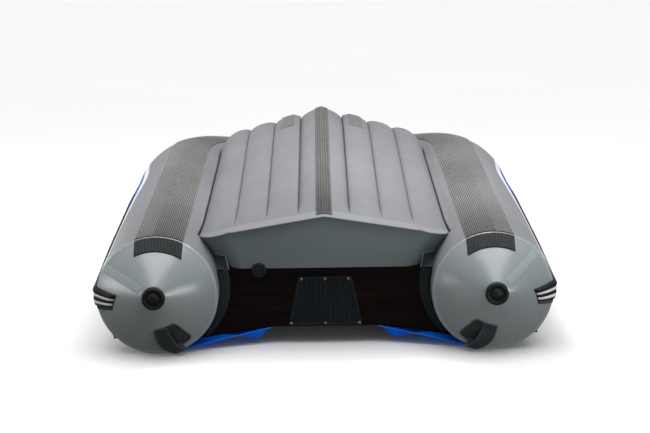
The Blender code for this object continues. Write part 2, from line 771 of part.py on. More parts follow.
def build_handles(boat):
    for side, right in SIDES:
        low, high = math.radians(-176), math.radians(-151)
        angles = facet_angles(low, high)
        rows = [mirrored([cone_point(s, a, SEAT_GAP * 2) for a in angles], right) for s in (0.03, 0.22, 0.5, 0.62)]
        middle = (low + high) / 2
        feet = mirrored([cone_point(0.14, middle - 0.13, foot_lift(0.004)), cone_point(0.14, middle + 0.13, foot_lift(0.004))], right)
        outward = mirrored([cone_point(0.3, middle, 1) - cone_point(0.3, middle, 0)], right)[0]
        rise = outward.normalized() * 0.016 + Vector((0, -0.012, 0))
        build_handle(boat, f"stern_lug_{side}", rows, outward, feet[0], feet[1], rise, 0.004)
        run = [side_station(y) for y in (0.52, 0.76)]
        angle = math.radians(112.5)
        angles = facet_angles(math.radians(108), math.radians(120))
        rows = [mirrored([s.point(a, SEAT_GAP) for a in angles], right) for s in run]
        feet = mirrored([side_station(y).point(angle, foot_lift(0.007)) for y in (0.55, 0.73)], right)
        outward = mirrored([run[0].outward_at(angle)], right)[0]
        build_handle(boat, f"side_handle_{side}", rows, outward, feet[0], feet[1], outward * 0.032, 0.007)


def build_bow_fittings(boat):
    turns = bow_turns()
    middle = BOW_STEPS // 2
    angle = math.radians(127.5)
    run = [bow_station(turns[middle + k]) for k in (-2, -1, 0, 1, 2)]
    rows = [[s.point(a, 0.0006) for a in facet_angles(math.radians(118), math.radians(137))] for s in run]
    outward = run[2].outward_at(angle)
    feet = [run[0].point(angle, foot_lift(0.008)), run[-1].point(angle, foot_lift(0.008))]
    build_handle(boat, "bow_handle", rows, outward, feet[0], feet[1], outward * 0.055, 0.008)
    for side, right in SIDES:
        run = [bow_station(turns[middle + k]) for k in (-3, -2, -1)]
        angles = facet_angles(math.radians(45), math.radians(75))
        rows = [mirrored([s.point(a, 0.0006) for a in angles], right) for s in run]
        outward = mirrored([run[1].outward_at(math.radians(60))], right)[0]
        feet = [run[1].point(math.radians(60 + k), foot_lift(0.004)) for k in (-4, 4)]
        feet = mirrored(feet, right)
        build_handle(boat, f"towing_ring_{side}", rows, outward, feet[0], feet[1], outward * 0.030, 0.004)


def build_lifelines(boat):
    """A rope along each tube, held down by rubber blocks."""
    holders_at = (0.06, 0.42, 0.88, 1.26, 1.56)
    for side, right in SIDES:
        lift = 0.011
        run = [side_station(0.02 + (SIDE_LENGTH - 0.02) * i / 8) for i in range(9)]
        run += [bow_station(t) for t in half_turns()[1:-4]]
        route = mirrored([s.point(ROPE_ANGLE, lift) for s in run], right)
        rope = as_mesh(boat, wire(boat, f"lifeline_{side}", route, ROPE_RADIUS, "rope"))
        rope.data.materials.clear()
        rope.data.materials.append(material("rope"))
        blocks = []
        for i, y in enumerate(holders_at):
            angles = facet_angles(math.radians(129), math.radians(141))
            stations = [side_station(y - 0.022), side_station(y + 0.022)]
            blocks.append(
                skin(boat, f"rope_holder_{side}_{i}", stations, angles, 0.018, "rubber_black", right)
            )
        end = bow_station(half_turns()[-6])
        after = bow_station(half_turns()[-5])
        angles = facet_angles(math.radians(129), math.radians(141))
        blocks.append(skin(boat, f"rope_holder_{side}_bow", [end, after], angles, 0.018, "rubber_black", right, 0.0006))
        joined(boat, rope, blocks)


def build_valves(boat):
    """Air valves on the inboard side of each tube, each seated on the middle of a flat of the skin."""
    angle = math.radians(-93.75)
    turns = bow_turns()
    runs = (
        ("left", side_station(0.24), side_station(0.36), False),
        ("right", side_station(0.24), side_station(0.36), True),
        ("bow", bow_station(turns[1]), bow_station(turns[2]), False),
    )
    profile = [
        (0, 0.012), (0.014, 0.012), (0.017, 0.009), (0.022, 0.009), (0.024, 0.004), (0.030, 0.003), (0.031, 0), (0, 0),
    ]
    for name, start, end, right in runs:
        a, b = start.point(angle), end.point(angle)
        across = start.point(angle + 0.01) - start.point(angle - 0.01)
        direction = across.cross(b - a).normalized()
        if direction.dot(start.outward_at(angle)) < 0:
            direction = -direction
        spot = (a + b) / 2 + direction * SEAT_GAP
        spot, direction = mirrored([spot, direction], right)
        turned(boat, f"air_valve_{name}", profile, 28, "nylon_grey", spot, direction)


def rail_section():
    """Angle and height pairs round the bench rail: a flange on the skin and a bead on a neck."""
    step = math.radians(1.0)
    middle = RAIL_ANGLE
    low, high = middle - 7 * step, middle + 7 * step
    feet = [(a, SEAT_GAP) for a in facet_angles(low, high)]
    face = [
        (high, 0.003), (middle + 1.2 * step, 0.003), (middle + 1.2 * step, 0.009), (middle + 2.2 * step, 0.012),
        (middle + 2.2 * step, 0.017), (middle + 1.0 * step, 0.020), (middle - 1.0 * step, 0.020),
        (middle - 2.2 * step, 0.017), (middle - 2.2 * step, 0.012), (middle - 1.2 * step, 0.009),
        (middle - 1.2 * step, 0.003), (low, 0.003),
    ]
    return feet + face


def build_bench_rails(boat):
    for side, right in SIDES:
        rings = []
        for y in (RAIL_START, RAIL_END):
            rings.append(mirrored([side_station(y).point(a, h) for a, h in rail_section()], right))
        smooth(boat.add(f"bench_rail_{side}", lofted(f"bench_rail_{side}", rings), "rubber_black"), 30)


def runner_outline():
    """The channel round the left rail's bead, as an open C in the X-Z plane, joined to the board's end."""
    station = side_station(0)
    normal = station.outward_at(RAIL_ANGLE)
    along = Vector((normal.z, 0, -normal.x))
    foot = station.point(RAIL_ANGLE, 0)
    shape = [
        (-0.0062, 0.0042), (-0.0062, 0.0078), (-0.0100, 0.0110), (-0.0100, 0.0208), (0.0100, 0.0208),
        (0.0100, 0.0110), (0.0062, 0.0078), (0.0062, 0.0042), (0.0138, 0.0042), (0.0138, 0.0300),
        (-0.0138, 0.0300), (-0.0138, 0.0042),
    ]
    return [((foot + normal * h + along * a).x, (foot + normal * h + along * a).z) for a, h in shape]


def build_benches(boat):
    station = side_station(0)
    middle = station.point(RAIL_ANGLE, 0.026)
    for name, y in BENCH_PLACES:
        carrier = bpy.data.objects.new(f"bench_{name}_frame", None)
        boat.pieces.objects.link(carrier)
        carrier.parent = boat.frame
        carrier.location = (0, y, middle.z)
        reach = abs(middle.x) - 0.002
        board = box(boat, f"bench_{name}", (2 * reach, BENCH_WIDTH, BENCH_THICK), (0, 0, 0), "bench_wood", carrier)
        runners = []
        for side, right in SIDES:
            points = [(x, z - middle.z) for x, z in runner_outline()]
            points = [(-x, z) for x, z in points] if right else points
            runner = outline(boat, f"bench_{name}_runner_{side}", points, BENCH_WIDTH - 0.03, "nylon_grey", carrier)
            runners.append(as_mesh(boat, runner))
        joined(boat, board, runners)


def build_oarlocks(boat):
    for side, right in SIDES:
        station = side_station(OARLOCK_Y)
        angles = facet_angles(math.radians(165), math.radians(195))
        run = [side_station(OARLOCK_Y - 0.06), side_station(OARLOCK_Y + 0.06)]
        base = skin(boat, f"oarlock_base_{side}", run, angles, 0.005, "rubber_black", right)
        axis_x = side_sign(right) * HALF_SPACING
        under = -TUBE_RADIUS
        boss_profile = [
            (0, OARLOCK_BOSS), (0.016, OARLOCK_BOSS), (0.022, OARLOCK_BOSS - 0.004), (0.026, 0.003),
            (0.026, 0.002), (0, 0.002),
        ]
        boss = turned(
            boat, f"oarlock_boss_{side}", boss_profile, 24, "rubber_black", (axis_x, OARLOCK_Y, under), (0, 0, -1)
        )
        joined(boat, base, [boss])
        pivot = bpy.data.objects.new(f"oarlock_{side}_pivot", None)
        boat.pieces.objects.link(pivot)
        pivot.parent = boat.frame
        pivot.location = (axis_x, OARLOCK_Y, under - OARLOCK_BOSS - SEAT_GAP)
        build_oarlock(boat, side, pivot)


def build_oarlock(boat, side, pivot):
    """A hub that swivels on the base, carrying the collar that the oar goes through."""
    hub_profile = [(0, 0.010), (0.012, 0.010), (0.015, 0.008), (0.015, 0), (0, 0)]
    hub = turned(boat, f"oarlock_{side}", hub_profile, 24, "nylon_grey", (0, 0, 0), (0, 0, -1), pivot)
    collar_outer, collar_inner = 0.0240, 0.0165
    profile = [
        (collar_outer, 0.011), (collar_outer, -0.011), (collar_inner, -0.011), (collar_inner, 0.011),
        (collar_outer, 0.011),
    ]
    collar = turned(
        boat, f"oarlock_{side}_collar", profile, 28, "nylon_grey", (0, 0, -COLLAR_DROP), (1, 0, 0), pivot
    )
    joined(boat, hub, [collar])


def settle(boat):
    """Tips the boat until its stern and its bow both touch the floor, and centres it over the origin."""
    bpy.context.view_layer.update()
    graph = bpy.context.evaluated_depsgraph_get()
    points = []
    for obj in boat.pieces.objects:
        if obj.type == "EMPTY":
            continue
        evaluated = obj.evaluated_get(graph)
        mesh = evaluated.to_mesh()
        points += [evaluated.matrix_world @ v.co for v in mesh.vertices]
        evaluated.to_mesh_clear()
    low, high = 0.0, math.radians(12)
    for _ in range(40):
        pitch = (low + high) / 2
        heights = [(p.y, p.y * math.sin(pitch) + p.z * math.cos(pitch)) for p in points]
        stern = min(h for y, h in heights if y < SIDE_LENGTH)
        bow = min(h for y, h in heights if y >= SIDE_LENGTH)
        if bow < stern:
            low = pitch
        else:
            high = pitch
    boat.frame.rotation_euler.x = pitch
    turned_points = [Matrix.Rotation(pitch, 3, "X") @ p for p in points]
    lengths = [p.y for p in turned_points]
    boat.frame.location.y = -(min(lengths) + max(lengths)) / 2
    boat.frame.location.z = -min(p.z for p in turned_points)


def main():
    clear_scene()
    boat = Boat()
    build_tubes(boat)
    build_cones(boat)
    build_bottom(boat)
    build_stern_panel(boat)
    build_bottom_guards(boat)
    build_tube_guards(boat)
    build_strake(boat)
    build_transom(boat)
    build_transom_holders(boat)
    build_transom_wings(boat)
    build_drain_valve(boat)
    build_handles(boat)
    build_bow_fittings(boat)
    build_lifelines(boat)
    build_valves(boat)
    build_bench_rails(boat)
    build_benches(boat)
    build_oarlocks(boat)
    settle(boat)


main()
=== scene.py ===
"""Looks of an inflatable motor boat that lies upside down, resting on its tubes.

Every piece is made in the boat's own frame: X across, Y towards the bow, Z towards the keel, with the
axis of the side tubes at Z = 0 and the ends of the side tubes at Y = 0. Left and right are -X and +X.
A run is a distance along the left tube from its end at the stern, negative on the stern cone. An
angle round a tube starts at the keel side and grows outboard.
"""

import bisect
import json
import math

import bmesh
import bpy
from bpy.props import FloatProperty, FloatVectorProperty, IntProperty
from mathutils import Matrix, Vector, noise


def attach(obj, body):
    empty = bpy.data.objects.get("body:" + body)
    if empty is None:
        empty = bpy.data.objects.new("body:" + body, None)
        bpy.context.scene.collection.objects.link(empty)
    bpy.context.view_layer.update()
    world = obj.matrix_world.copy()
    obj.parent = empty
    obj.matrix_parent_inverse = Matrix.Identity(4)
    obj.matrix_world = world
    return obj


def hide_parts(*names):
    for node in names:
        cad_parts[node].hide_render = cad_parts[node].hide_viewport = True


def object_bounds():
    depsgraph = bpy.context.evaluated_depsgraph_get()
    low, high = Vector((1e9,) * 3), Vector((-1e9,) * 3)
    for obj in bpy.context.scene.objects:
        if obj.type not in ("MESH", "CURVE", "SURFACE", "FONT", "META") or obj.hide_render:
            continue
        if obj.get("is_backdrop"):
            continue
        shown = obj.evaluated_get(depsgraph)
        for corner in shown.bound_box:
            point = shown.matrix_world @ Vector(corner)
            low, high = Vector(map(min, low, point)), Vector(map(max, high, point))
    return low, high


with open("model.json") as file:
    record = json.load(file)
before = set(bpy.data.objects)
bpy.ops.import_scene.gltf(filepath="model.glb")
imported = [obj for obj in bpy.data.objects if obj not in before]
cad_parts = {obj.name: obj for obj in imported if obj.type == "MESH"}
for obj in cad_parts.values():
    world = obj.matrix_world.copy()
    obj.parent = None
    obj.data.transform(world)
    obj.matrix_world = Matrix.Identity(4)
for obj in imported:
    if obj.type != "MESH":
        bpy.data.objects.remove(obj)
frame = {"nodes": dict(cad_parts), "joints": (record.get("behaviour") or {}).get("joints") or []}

bl_info = {
    "name": "Inflatable boat",
    "version": (1, 0, 0),
    "blender": (4, 5, 0),
    "location": "View3D > Sidebar > Boat",
    "description": "Dresses the frame of an inflatable motor boat that lies upside down",
    "category": "Object",
}

CAD_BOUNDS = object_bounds()


def joint(name):
    return next(j for j in frame["joints"] if j["name"] == name)


# The boat's own frame, read from the way its benches slide and its oarlocks turn
ALONG = Vector(joint("rear_bench_slide")["axis"]).normalized()
KEELWARD = Vector(joint("left_oarlock_swivel")["axis"]).normalized()
TURN = Matrix((ALONG.cross(KEELWARD), ALONG, KEELWARD)).transposed()


def turned_box(node):
    """Lowest and highest corners of a node along the boat's own axes."""
    points = [TURN.transposed() @ v.co for v in frame["nodes"][node].data.vertices]
    low = Vector([min(p[i] for p in points) for i in range(3)])
    high = Vector([max(p[i] for p in points) for i in range(3)])
    return low, high


TUBE_LOW, TUBE_HIGH = turned_box("side_tube_left")
TUBE_RADIUS = (TUBE_HIGH.z - TUBE_LOW.z) / 2
HALF_SPACING = -(TUBE_LOW.x + TUBE_HIGH.x) / 2
SIDE_LENGTH = TUBE_HIGH.y - TUBE_LOW.y
ORIGIN = TURN @ Vector((0, TUBE_LOW.y, (TUBE_LOW.z + TUBE_HIGH.z) / 2))
BOAT = Matrix.Translation(ORIGIN) @ TURN.to_4x4()


def boat_box(node):
    """Lowest and highest corners of a node in the boat's own frame."""
    low, high = turned_box(node)
    shift = TURN.transposed() @ ORIGIN
    return low - shift, high - shift


SIDES = (("left", 1), ("right", -1))
AFT = (0, -1, 0)
TUBE_FACETS = 132
CONE_FACETS = 144
EDGE_LIFT = 0.0002  # how far the thin edge of a strip stands over the skin

# Bow
BOW_LENGTH = 1.37
BOW_DROP = 0.242
BOW_DROP_POWER = 1.7
BOW_TAPER = 0.144
BOW_SAMPLES = 400
GIRTH_SEAMS = (SIDE_LENGTH + 0.03, SIDE_LENGTH + 0.8)
SEAM_PUCKER = 0.0012
SEAM_PUCKER_REACH = 0.045

# Stern cones
CONE_LENGTH = 0.15
CONE_SLANT = 0.2366  # length of the cone's skin, from the ring seam to the cap
CONE_TIP_RADIUS = 0.042
CONE_TIP_SHIFT = 0.034
CONE_BULGE = 0.014
CORNER = 0.02  # how far the turn from tube to cone is rounded
RING_TAPE = (-0.0112, 0.004)  # runs of the edges of the tape round that turn
CONE_BAND_ANGLES = {"left": math.radians(59.5), "right": math.radians(46.5)}
CAP_PROFILE = (
    (0.0425, -0.004), (0.0425, 0.002), (0.0425, 0.006), (0.042, 0.01), (0.04, 0.0135), (0.037, 0.0155),
    (0.0335, 0.016), (0.03, 0.0148), (0.0275, 0.0125), (0.0262, 0.0105), (0.0245, 0.01), (0.0225, 0.0115),
    (0.0195, 0.015), (0.016, 0.018), (0.012, 0.0203), (0.006, 0.0216), (0, 0.0218),
)

# Inflatable bottom
LOBE_SEAMS = (0.098, 0.219, 0.34)
LOBE_DEPTH = 0.024
LOBE_FULLNESS = 2.3
LOBES_START = 0.03  # distance from the stern edge at which the lobes begin to rise
LOBES_GROW = 0.28
KEEL_LOBE_DEPTH = 0.036
OUTER_LOBE_HALF = 0.065
BOTTOM_HALF = 0.4685
SOLE_DEPTH = 0.01
SOLE_HEIGHT = 0.067
SOLE_ANGLE = -math.acos(SOLE_HEIGHT / TUBE_RADIUS)
SOLE_EDGE = 0.117
SOLE_EDGE_FADE = 0.1
STERN_EDGE = 0.085
STERN_ROWS = (0.0, 0.003, 0.008, 0.015, 0.024, 0.036, 0.052, 0.07)
STERN_LIP = 0.004  # how far the skin turns down at its stern edge
STERN_LIP_REACH = 0.01
KEEL_AT_STERN = 0.278
KEEL_RISE = 0.069
KEEL_CREST = 1.5
KEEL_BEND = 0.15
FOREFOOT_START = 2.05
FOREFOOT_DROP = 0.125
FOREFOOT_END = SIDE_LENGTH + BOW_LENGTH - 0.06
CREASE_ANGLE = math.radians(43)
CREASE_CLOSING = math.radians(14.5)
EDGE_ROLL = 0.065
EDGE_STAND = 0.028  # height of the rolled edge over its crease at the stern
EDGE_STAND_MORE = 0.04  # what it gains on its way to the forefoot
PLEAT_DEPTH = 0.0016
PLEAT_REACH = 0.02
PLEAT_PITCH = 0.013
HEM_REACH = 0.352  # half of the loose stretch of the stern hem
HEM_END = 0.463
HEM_OVERHANG = 0.011
CORNER_SWEEP = 0.125  # how far the corners of the stern edge lie ahead of its middle
CORNER_FADE = 0.32
CORNER_LIFT = math.radians(2.5)
CORNER_FLAT = 0.22
FOOT_SWEEP = 0.075
TAB_TOP = 0.6  # share of the panel's height at which its corner tabs start
TAB_INNER = 0.408
TAB_FOOT = 0.361

# Strips on the tubes and the bottom
RIB_SHAPE = ((0.1, 0.0), (0.28, 0.8), (0.5, 1.0), (0.72, 0.8), (0.9, 0.0))
RIB_CROWN = 0.75  # share of a rib's height from which its crown is painted paler, as a painted highlight
GUARD_OUTER = math.radians(19.9)
GUARD_INNER = math.radians(-26.6)
GUARD_END = 2.96
GUARD_RIBS = (0.002, 0.0048)  # height of the grooves and of the crowns
GUARD_HIGHLIT = 0.62  # share of the guard's width, from which its crowns are painted palest, as painted highlights
PAD_RIBS = (0.0026, 0.0052)
PAD_REACH = 0.37
KEEL_RIBS = (0.0028, 0.0062)
KEEL_STRIP_HALF = 0.03
LOBE_RIBS = (0.0024, 0.0048)
LOBE_STRIP_HALF = 0.0318
LOBE_STRIP = (1.58, 2.62)
STRAKE_TOP = math.radians(80)
WHITE_TOP = math.radians(57.5)
BLUE_TOP = math.radians(66)
BAND_GAP = math.radians(0.3)
BAND_EDGE = math.radians(0.35)
BAND_RISE = math.radians(17)  # how far both bands climb towards the keel on their way to the bow
BAND_CLIMB = (0.5, 0.85)  # run at which the climb starts, and its length
BAND_FALL = (1.2, 0.7)
STRAKE_RISE = math.radians(5.5)  # how far the strake climbs amidships
STRAKE_CLIMB = (0.05, 0.5)
STRAKE_FALL = (1.2, 0.5)
STRAKE_REACH = 0.53  # share of the cone that the strake runs down
STRAKE_CUT = 0.28  # how much less its lower edge reaches
STRAKE_DRIFT = math.radians(12)  # how much it would turn down over the whole cone
STRAKE_NOSE = 0.009  # length of its rounded ends
BLACK, WHITE, GREY = 0, 1, 2  # the strake's finishes
STRAKE_FACE = (  # degrees down from its upper edge, height and colour
    (0.0, 0.0002, BLACK), (0.1, 0.006, BLACK), (0.7, 0.011, BLACK), (1.8, 0.0142, BLACK),
    (3.1, 0.0152, BLACK), (4.5, 0.0142, BLACK), (5.6, 0.0112, BLACK), (6.2, 0.008, BLACK),
    (6.5, 0.0098, WHITE), (7.0, 0.0118, WHITE),
    (8.0, 0.0126, WHITE), (9.0, 0.0118, WHITE), (9.4, 0.0095, BLACK), (9.8, 0.0112, BLACK),
    (11.2, 0.0118, BLACK), (12.6, 0.0112, BLACK), (13.0, 0.0093, WHITE), (13.4, 0.011, WHITE),
    (14.6, 0.0118, WHITE), (15.8, 0.0108, WHITE), (16.2, 0.0088, BLACK), (16.6, 0.0096, BLACK),
    (17.6, 0.0088, BLACK), (18.3, 0.0045, GREY), (18.8, 0.0034, GREY), (20.6, 0.0032, GREY),
    (22.2, 0.0028, GREY), (22.6, 0.0002, GREY),
)

# Transom
TRANSOM_AFT = 0.12
TRANSOM_THICK = 0.025
TRANSOM_TOP = -0.165
TRANSOM_FLAT = 0.2
TRANSOM_CORNER = 0.47
TRANSOM_FOOT_REACH = 0.409
PLATE = ((0.101, 0.032), (0.141, -0.162))  # half width and height at the plate's upper and lower edge
PLATE_CORNER = 0.008
PLATE_BORDER = 0.013
PLATE_BAR_PITCH = 0.0175
PLATE_RUNG_PITCH = 0.0068
INNER_PLATE_HALF = 0.14
INNER_PLATE_TOP = -0.03
SCREW_INSET = 0.01
SCREW_HEAD = ((0.0062, 0.0), (0.006, 0.0009), (0.005, 0.002), (0.0035, 0.0027), (0, 0.0029))
HOLDER_WALL = 0.0045
HOLDER_FLANGE = 0.04
HOLDER_LEG = 0.045
HOLDER_START = math.radians(-139)
CEMENT = ((0.0, 0.0), (0.0006, 0.0006), (0.0029, 0.0006), (0.0035, 0.0))
CEMENT_WIDTH = CEMENT[-1][0]
WING_REACH = 0.585
WING_DROP = 0.0575
WING_SAG = 0.04
WING_THICK = 0.0011
ARC_STEP = math.radians(2.5)
DRAIN_PLACE = (-0.247, TRANSOM_AFT - 0.0115, 0.062)
DRAIN_RING = (
    (0.0275, -0.001), (0.028, 0.001), (0.0278, 0.003), (0.0265, 0.0058), (0.024, 0.0078), (0.0215, 0.0085),
    (0.0198, 0.008), (0.0188, 0.0062), (0.0186, 0.003), (0, 0.0028),
)
DRAIN_PLUG = (
    (0.0175, 0.002), (0.0175, 0.0088), (0.0165, 0.0098), (0.0125, 0.01), (0.012, 0.007), (0, 0.0068)
)

# Fittings
PATCH_EDGE = ((1.0, -0.0004), (1.0, 0.0008), (0.985, 0.0016), (0.95, 0.0021), (0.9, 0.0022))
PATCH = PATCH_EDGE + ((0.02, 0.0022),)
LUG_PLACE = (0.387, math.radians(-162.4))  # share of the cone's length, and angle
LUG_TURN = math.radians(5)
LUG_HALF_LONG = 0.063
LUG_HALF_WIDE = 0.06
LUG_SLANT = 0.35
LUG_STRAP_THICK = 0.0021
LUG_RIM = (
    (1.0, -0.002), (1.0, 0.002), (0.98, 0.0038), (0.94, 0.0044), (0.89, 0.004), (0.86, 0.0028),
    (0.8, 0.0024), (0.02, 0.0024),
)
LUG_LOOP = (  # distance down the cone, height, place across and half width of the lug's strap
    (-0.06, 0.003, -0.024, 0.034), (-0.045, 0.0055, -0.0235, 0.033), (-0.02, 0.013, -0.022, 0.03),
    (0.01, 0.0205, -0.017, 0.0255), (0.038, 0.027, -0.006, 0.02), (0.056, 0.029, 0.003, 0.016),
    (0.0655, 0.026, 0.008, 0.0145), (0.067, 0.019, 0.0085, 0.0145), (0.061, 0.011, 0.006, 0.0155),
    (0.052, 0.005, 0.003, 0.017), (0.044, 0.003, 0.0, 0.018),
)
LUG_STRAP = (
    (-1, 0.4), (-0.96, 0.9), (-0.8, 1), (0, 1.15), (0.8, 1), (0.96, 0.9), (1, 0.4), (0.96, -0.7), (0, -0.8),
    (-0.96, -0.7),
)
HANDLE_RUN = 0.64
HANDLE_PATCH = (0.12, 0.024)  # half length and half width
HANDLE_RISE = 0.032
HANDLE_FEET = (0.55, 0.73)
HANDLE_ANGLE = math.radians(112.5)
HANDLE_RADIUS = 0.0068
HANDLE_BOSS = ((1, 0.001), (0.95, 0.006), (0.7, 0.0085), (0.02, 0.01))
BOW_HANDLE_ANGLE = math.radians(127.5)
BOW_HANDLE_PATCH = (0.135, 0.029)
BOW_HANDLE_FOOT = 0.115
BOW_HANDLE_RISE = 0.055
BOW_HANDLE_RADIUS = 0.0076
RING_ANGLE = math.radians(60)
RING_PATCH = (0.062, 0.052)
RING_RADIUS = 0.004
RING_RISE = 0.03
ROPE_ANGLE = math.radians(135)
ROPE_LIFT = 0.011
ROPE_START = 0.022
ROPE_BLOCKS = (0.06, 0.42, 0.88, 1.26, 1.56)
ROPE_STRANDS = 3
ROPE_LAY = 0.026
ROPE_PATCH = (0.034, 0.027)
ROPE_BLOCK = (0.028, 0.026)
ROPE_DOME = ((0.85, 0.0), (0.8, 0.006), (0.7, 0.0125), (0.55, 0.0165), (0.35, 0.0182), (0.02, 0.0186))
RAIL_ANGLE = math.radians(-116.25)
VALVE_ANGLE = math.radians(-93.75)
VALVE_RUN = 0.3
VALVE_PROFILE = (
    (0.031, -0.0006), (0.031, 0.001), (0.03, 0.0028), (0.0255, 0.004), (0.0242, 0.0044), (0.0238, 0.0085),
    (0.0225, 0.0093), (0.0195, 0.0094), (0.0185, 0.008), (0.018, 0.0078), (0.0176, 0.0104), (0.016, 0.0118),
    (0.01, 0.0121), (0, 0.0122),
)
VALVE_KNURL = ((-0.0012, 0), (-0.0008, 0.001), (0.0008, 0.001), (0.0012, 0))
BENCH_HALF_THICK = 0.009
BENCH_CORNER = 0.014
BENCH_SCREW = ((0.007, 0), (0.0066, 0.0012), (0.004, 0.0022), (0, 0.0024))
BENCH_RUNNER = (
    (-0.0062, 0.0042), (-0.0062, 0.0078), (-0.01, 0.011), (-0.01, 0.0208), (0.01, 0.0208),
    (0.01, 0.011), (0.0062, 0.0078), (0.0062, 0.0042), (0.0138, 0.0042), (0.0138, 0.03),
    (-0.0138, 0.03), (-0.0138, 0.0042),
)
OARLOCK_Y = 1.2
OARLOCK_PATCH = (0.06, 0.056)
OARLOCK_BASE = (
    (0.03, 0.002), (0.029, 0.0034), (0.0265, 0.005), (0.0245, 0.011), (0.0232, 0.016), (0.0215, 0.0185),
    (0.016, 0.0198), (0, 0.0198),
)
OARLOCK_BOSS = 0.02
OARLOCK_HUB = ((0.015, 0.0), (0.015, 0.0065), (0.014, 0.0088), (0.012, 0.0098), (0, 0.01))
COLLAR_DROP = 0.029
COLLAR_RADIUS = 0.0203
COLLAR_HALF_WIDE = 0.011
COLLAR_HALF_THICK = 0.0037

# Camera, as it stood over the boat in the photograph
CAMERA_PLACE = (-0.0197, -6.134, 1.804)
CAMERA_DOWN = math.radians(13.84)
CAMERA_YAW = math.radians(-0.217)
CAMERA_ROLL = math.radians(0.777)
CAMERA_LENS = 95.44
CAMERA_SENSOR = 36
CAMERA_RANGE = 200

# Floor, surround and lights
FLOOR_RADIUS = 70
SURROUND = (  # height from straight down to straight up, and colour
    (0.0, (0.1, 0.1, 0.1)), (0.46, (0.09, 0.09, 0.09)), (0.56, (0.2, 0.2, 0.2)),
    (0.75, (0.42, 0.42, 0.42)), (1.0, (0.55, 0.55, 0.56)),
)
SUN_FROM = (0.1, -0.5, 2.6)
SUN_STRENGTH = 1.85
SUN_SPREAD = math.radians(60)
LAMPS = {  # place, aim, size and power
    "over_stern": ((0.45, -0.93, 1.75), (0, -0.05, 0.2), (0.5, 0.35), 11),
    "right_low": ((2.2, -3.2, 0.0), (0.6, -0.1, 0.0), (2.0, 0.5), 36),
    "left_low": ((-2.8, -1.7, 0.3), (-0.6, -0.1, 0.1), (1.4, 0.5), 9),
    "right_side": ((3.0, 1.2, 1.0), (0.6, 0.8, 0.1), (2.5, 1.0), 22),
    "left_side": ((-3.0, 1.2, 1.0), (-0.6, 0.8, 0.1), (2.5, 1.0), 45),
    "stern_fill": ((0, -1.8, 0.05), (0, 0.12, 0.0), (1.2, 0.3), 0.3),
}


def length_of(label, default, least, most, description):
    return FloatProperty(
        name=label, description=description, default=default, min=least, max=most, unit="LENGTH"
    )


class BoatSizes(bpy.types.PropertyGroup):
    """Sizes of the details that a user would change."""

    guard_pitch: length_of("Guard rib pitch", 0.0068, 0.003, 0.02, "Distance between the guards' ribs")
    pad_pitch: length_of("Pad rib pitch", 0.0052, 0.003, 0.02, "Distance between the ribs of the cones' pads")
    weave_pitch: length_of("Weave pitch", 0.0016, 0.0005, 0.01, "Distance between the fabric's threads")
    tape_width: length_of("Seam tape width", 0.022, 0.01, 0.05, "Width of the tapes over the seams")
    cone_tape_width: length_of("Cone tape width", 0.031, 0.01, 0.06, "Width of the tape that closes a cone")
    tape_thickness: length_of("Fabric thickness", 0.0009, 0.0004, 0.003, "Thickness of tapes and bands")
    hem_width: length_of("Hem width", 0.06, 0.02, 0.1, "Width of the hem along the stern edge")
    rope_radius: length_of("Rope radius", 0.005, 0.003, 0.01, "Radius of the lifelines")
    keel_ribs: IntProperty(
        name="Keel ribs", description="Ribs across the keel strip", default=6, min=2, max=12
    )


def colour_of(label, default, description):
    return FloatVectorProperty(
        name=label, description=description, default=default, size=3, min=0, max=1, subtype="COLOR"
    )


class BoatColours(bpy.types.PropertyGroup):
    """Colours of the boat's materials."""

    tube: colour_of("Tubes", (0.25, 0.252, 0.268), "Coated fabric of the tubes and the bottom")
    cone: colour_of("Cones", (0.3, 0.34, 0.345), "Coated fabric of the stern cones")
    panel: colour_of("Stern panel", (0.19, 0.235, 0.24), "Panel between the bottom and the transom")
    tape: colour_of("Seam tape", (0.33, 0.405, 0.415), "Tapes over the seams of the cones")
    guard: colour_of("Guards", (0.215, 0.212, 0.207), "Ribbed strips on the tubes and the keel")
    pad: colour_of("Pads", (0.035, 0.037, 0.04), "Ribbed pads on the cones")
    rubber: colour_of("Black rubber", (0.012, 0.014, 0.015), "Caps, lugs, handles and the strake")
    flange: colour_of("Grey rubber", (0.075, 0.078, 0.088), "Foot of the strake")
    white: colour_of("White", (0.8, 0.8, 0.8), "White band and white lines of the strake")
    blue: colour_of("Blue", (0.0, 0.17, 1.0), "Blue band and the transom wings")
    board: colour_of("Transom", (0.005, 0.0022, 0.0018), "Varnished board of the transom")
    plate: colour_of("Motor plate", (0.008, 0.013, 0.016), "Plates that the motor is clamped to")
    brass: colour_of("Screws", (0.42, 0.32, 0.13), "Screws of the motor plate")
    holder: colour_of("Transom holders", (0.013, 0.019, 0.021), "Strips that hold the transom")
    nylon: colour_of("Nylon", (0.13, 0.13, 0.14), "Valves, bench runners and oarlocks")
    wood: colour_of("Benches", (0.42, 0.27, 0.14), "Plywood of the benches")
    rope: colour_of("Lifelines", (0.02, 0.02, 0.024), "Rope along the tubes")


class Station:
    """One cross-section of a tube: its centre, the direction to the boat's inside, and its radius."""

    def __init__(self, centre, tangent, radius):
        self.centre = Vector(centre)
        self.radius = radius
        tangent = Vector(tangent).normalized()
        self.inward = tangent.cross(Vector((0, 0, 1))).normalized()
        self.up = self.inward.cross(tangent)

    def outward_at(self, angle):
        return math.cos(angle) * self.up - math.sin(angle) * self.inward

    def point(self, angle, lift=0.0):
        return self.centre + (self.radius + lift) * self.outward_at(angle)


def eased(value):
    value = min(1.0, max(0.0, value))
    return value * value * (3 - 2 * value)


def spread(start, end, step=None, count=None):
    """Evenly spaced values from start to end, about step apart or in count steps."""
    count = count or max(1, round((end - start) / step))
    return [start + (end - start) * i / count for i in range(count + 1)]


def circle(count):
    """Evenly spaced angles all the way round."""
    return [2 * math.pi * i / count for i in range(count)]


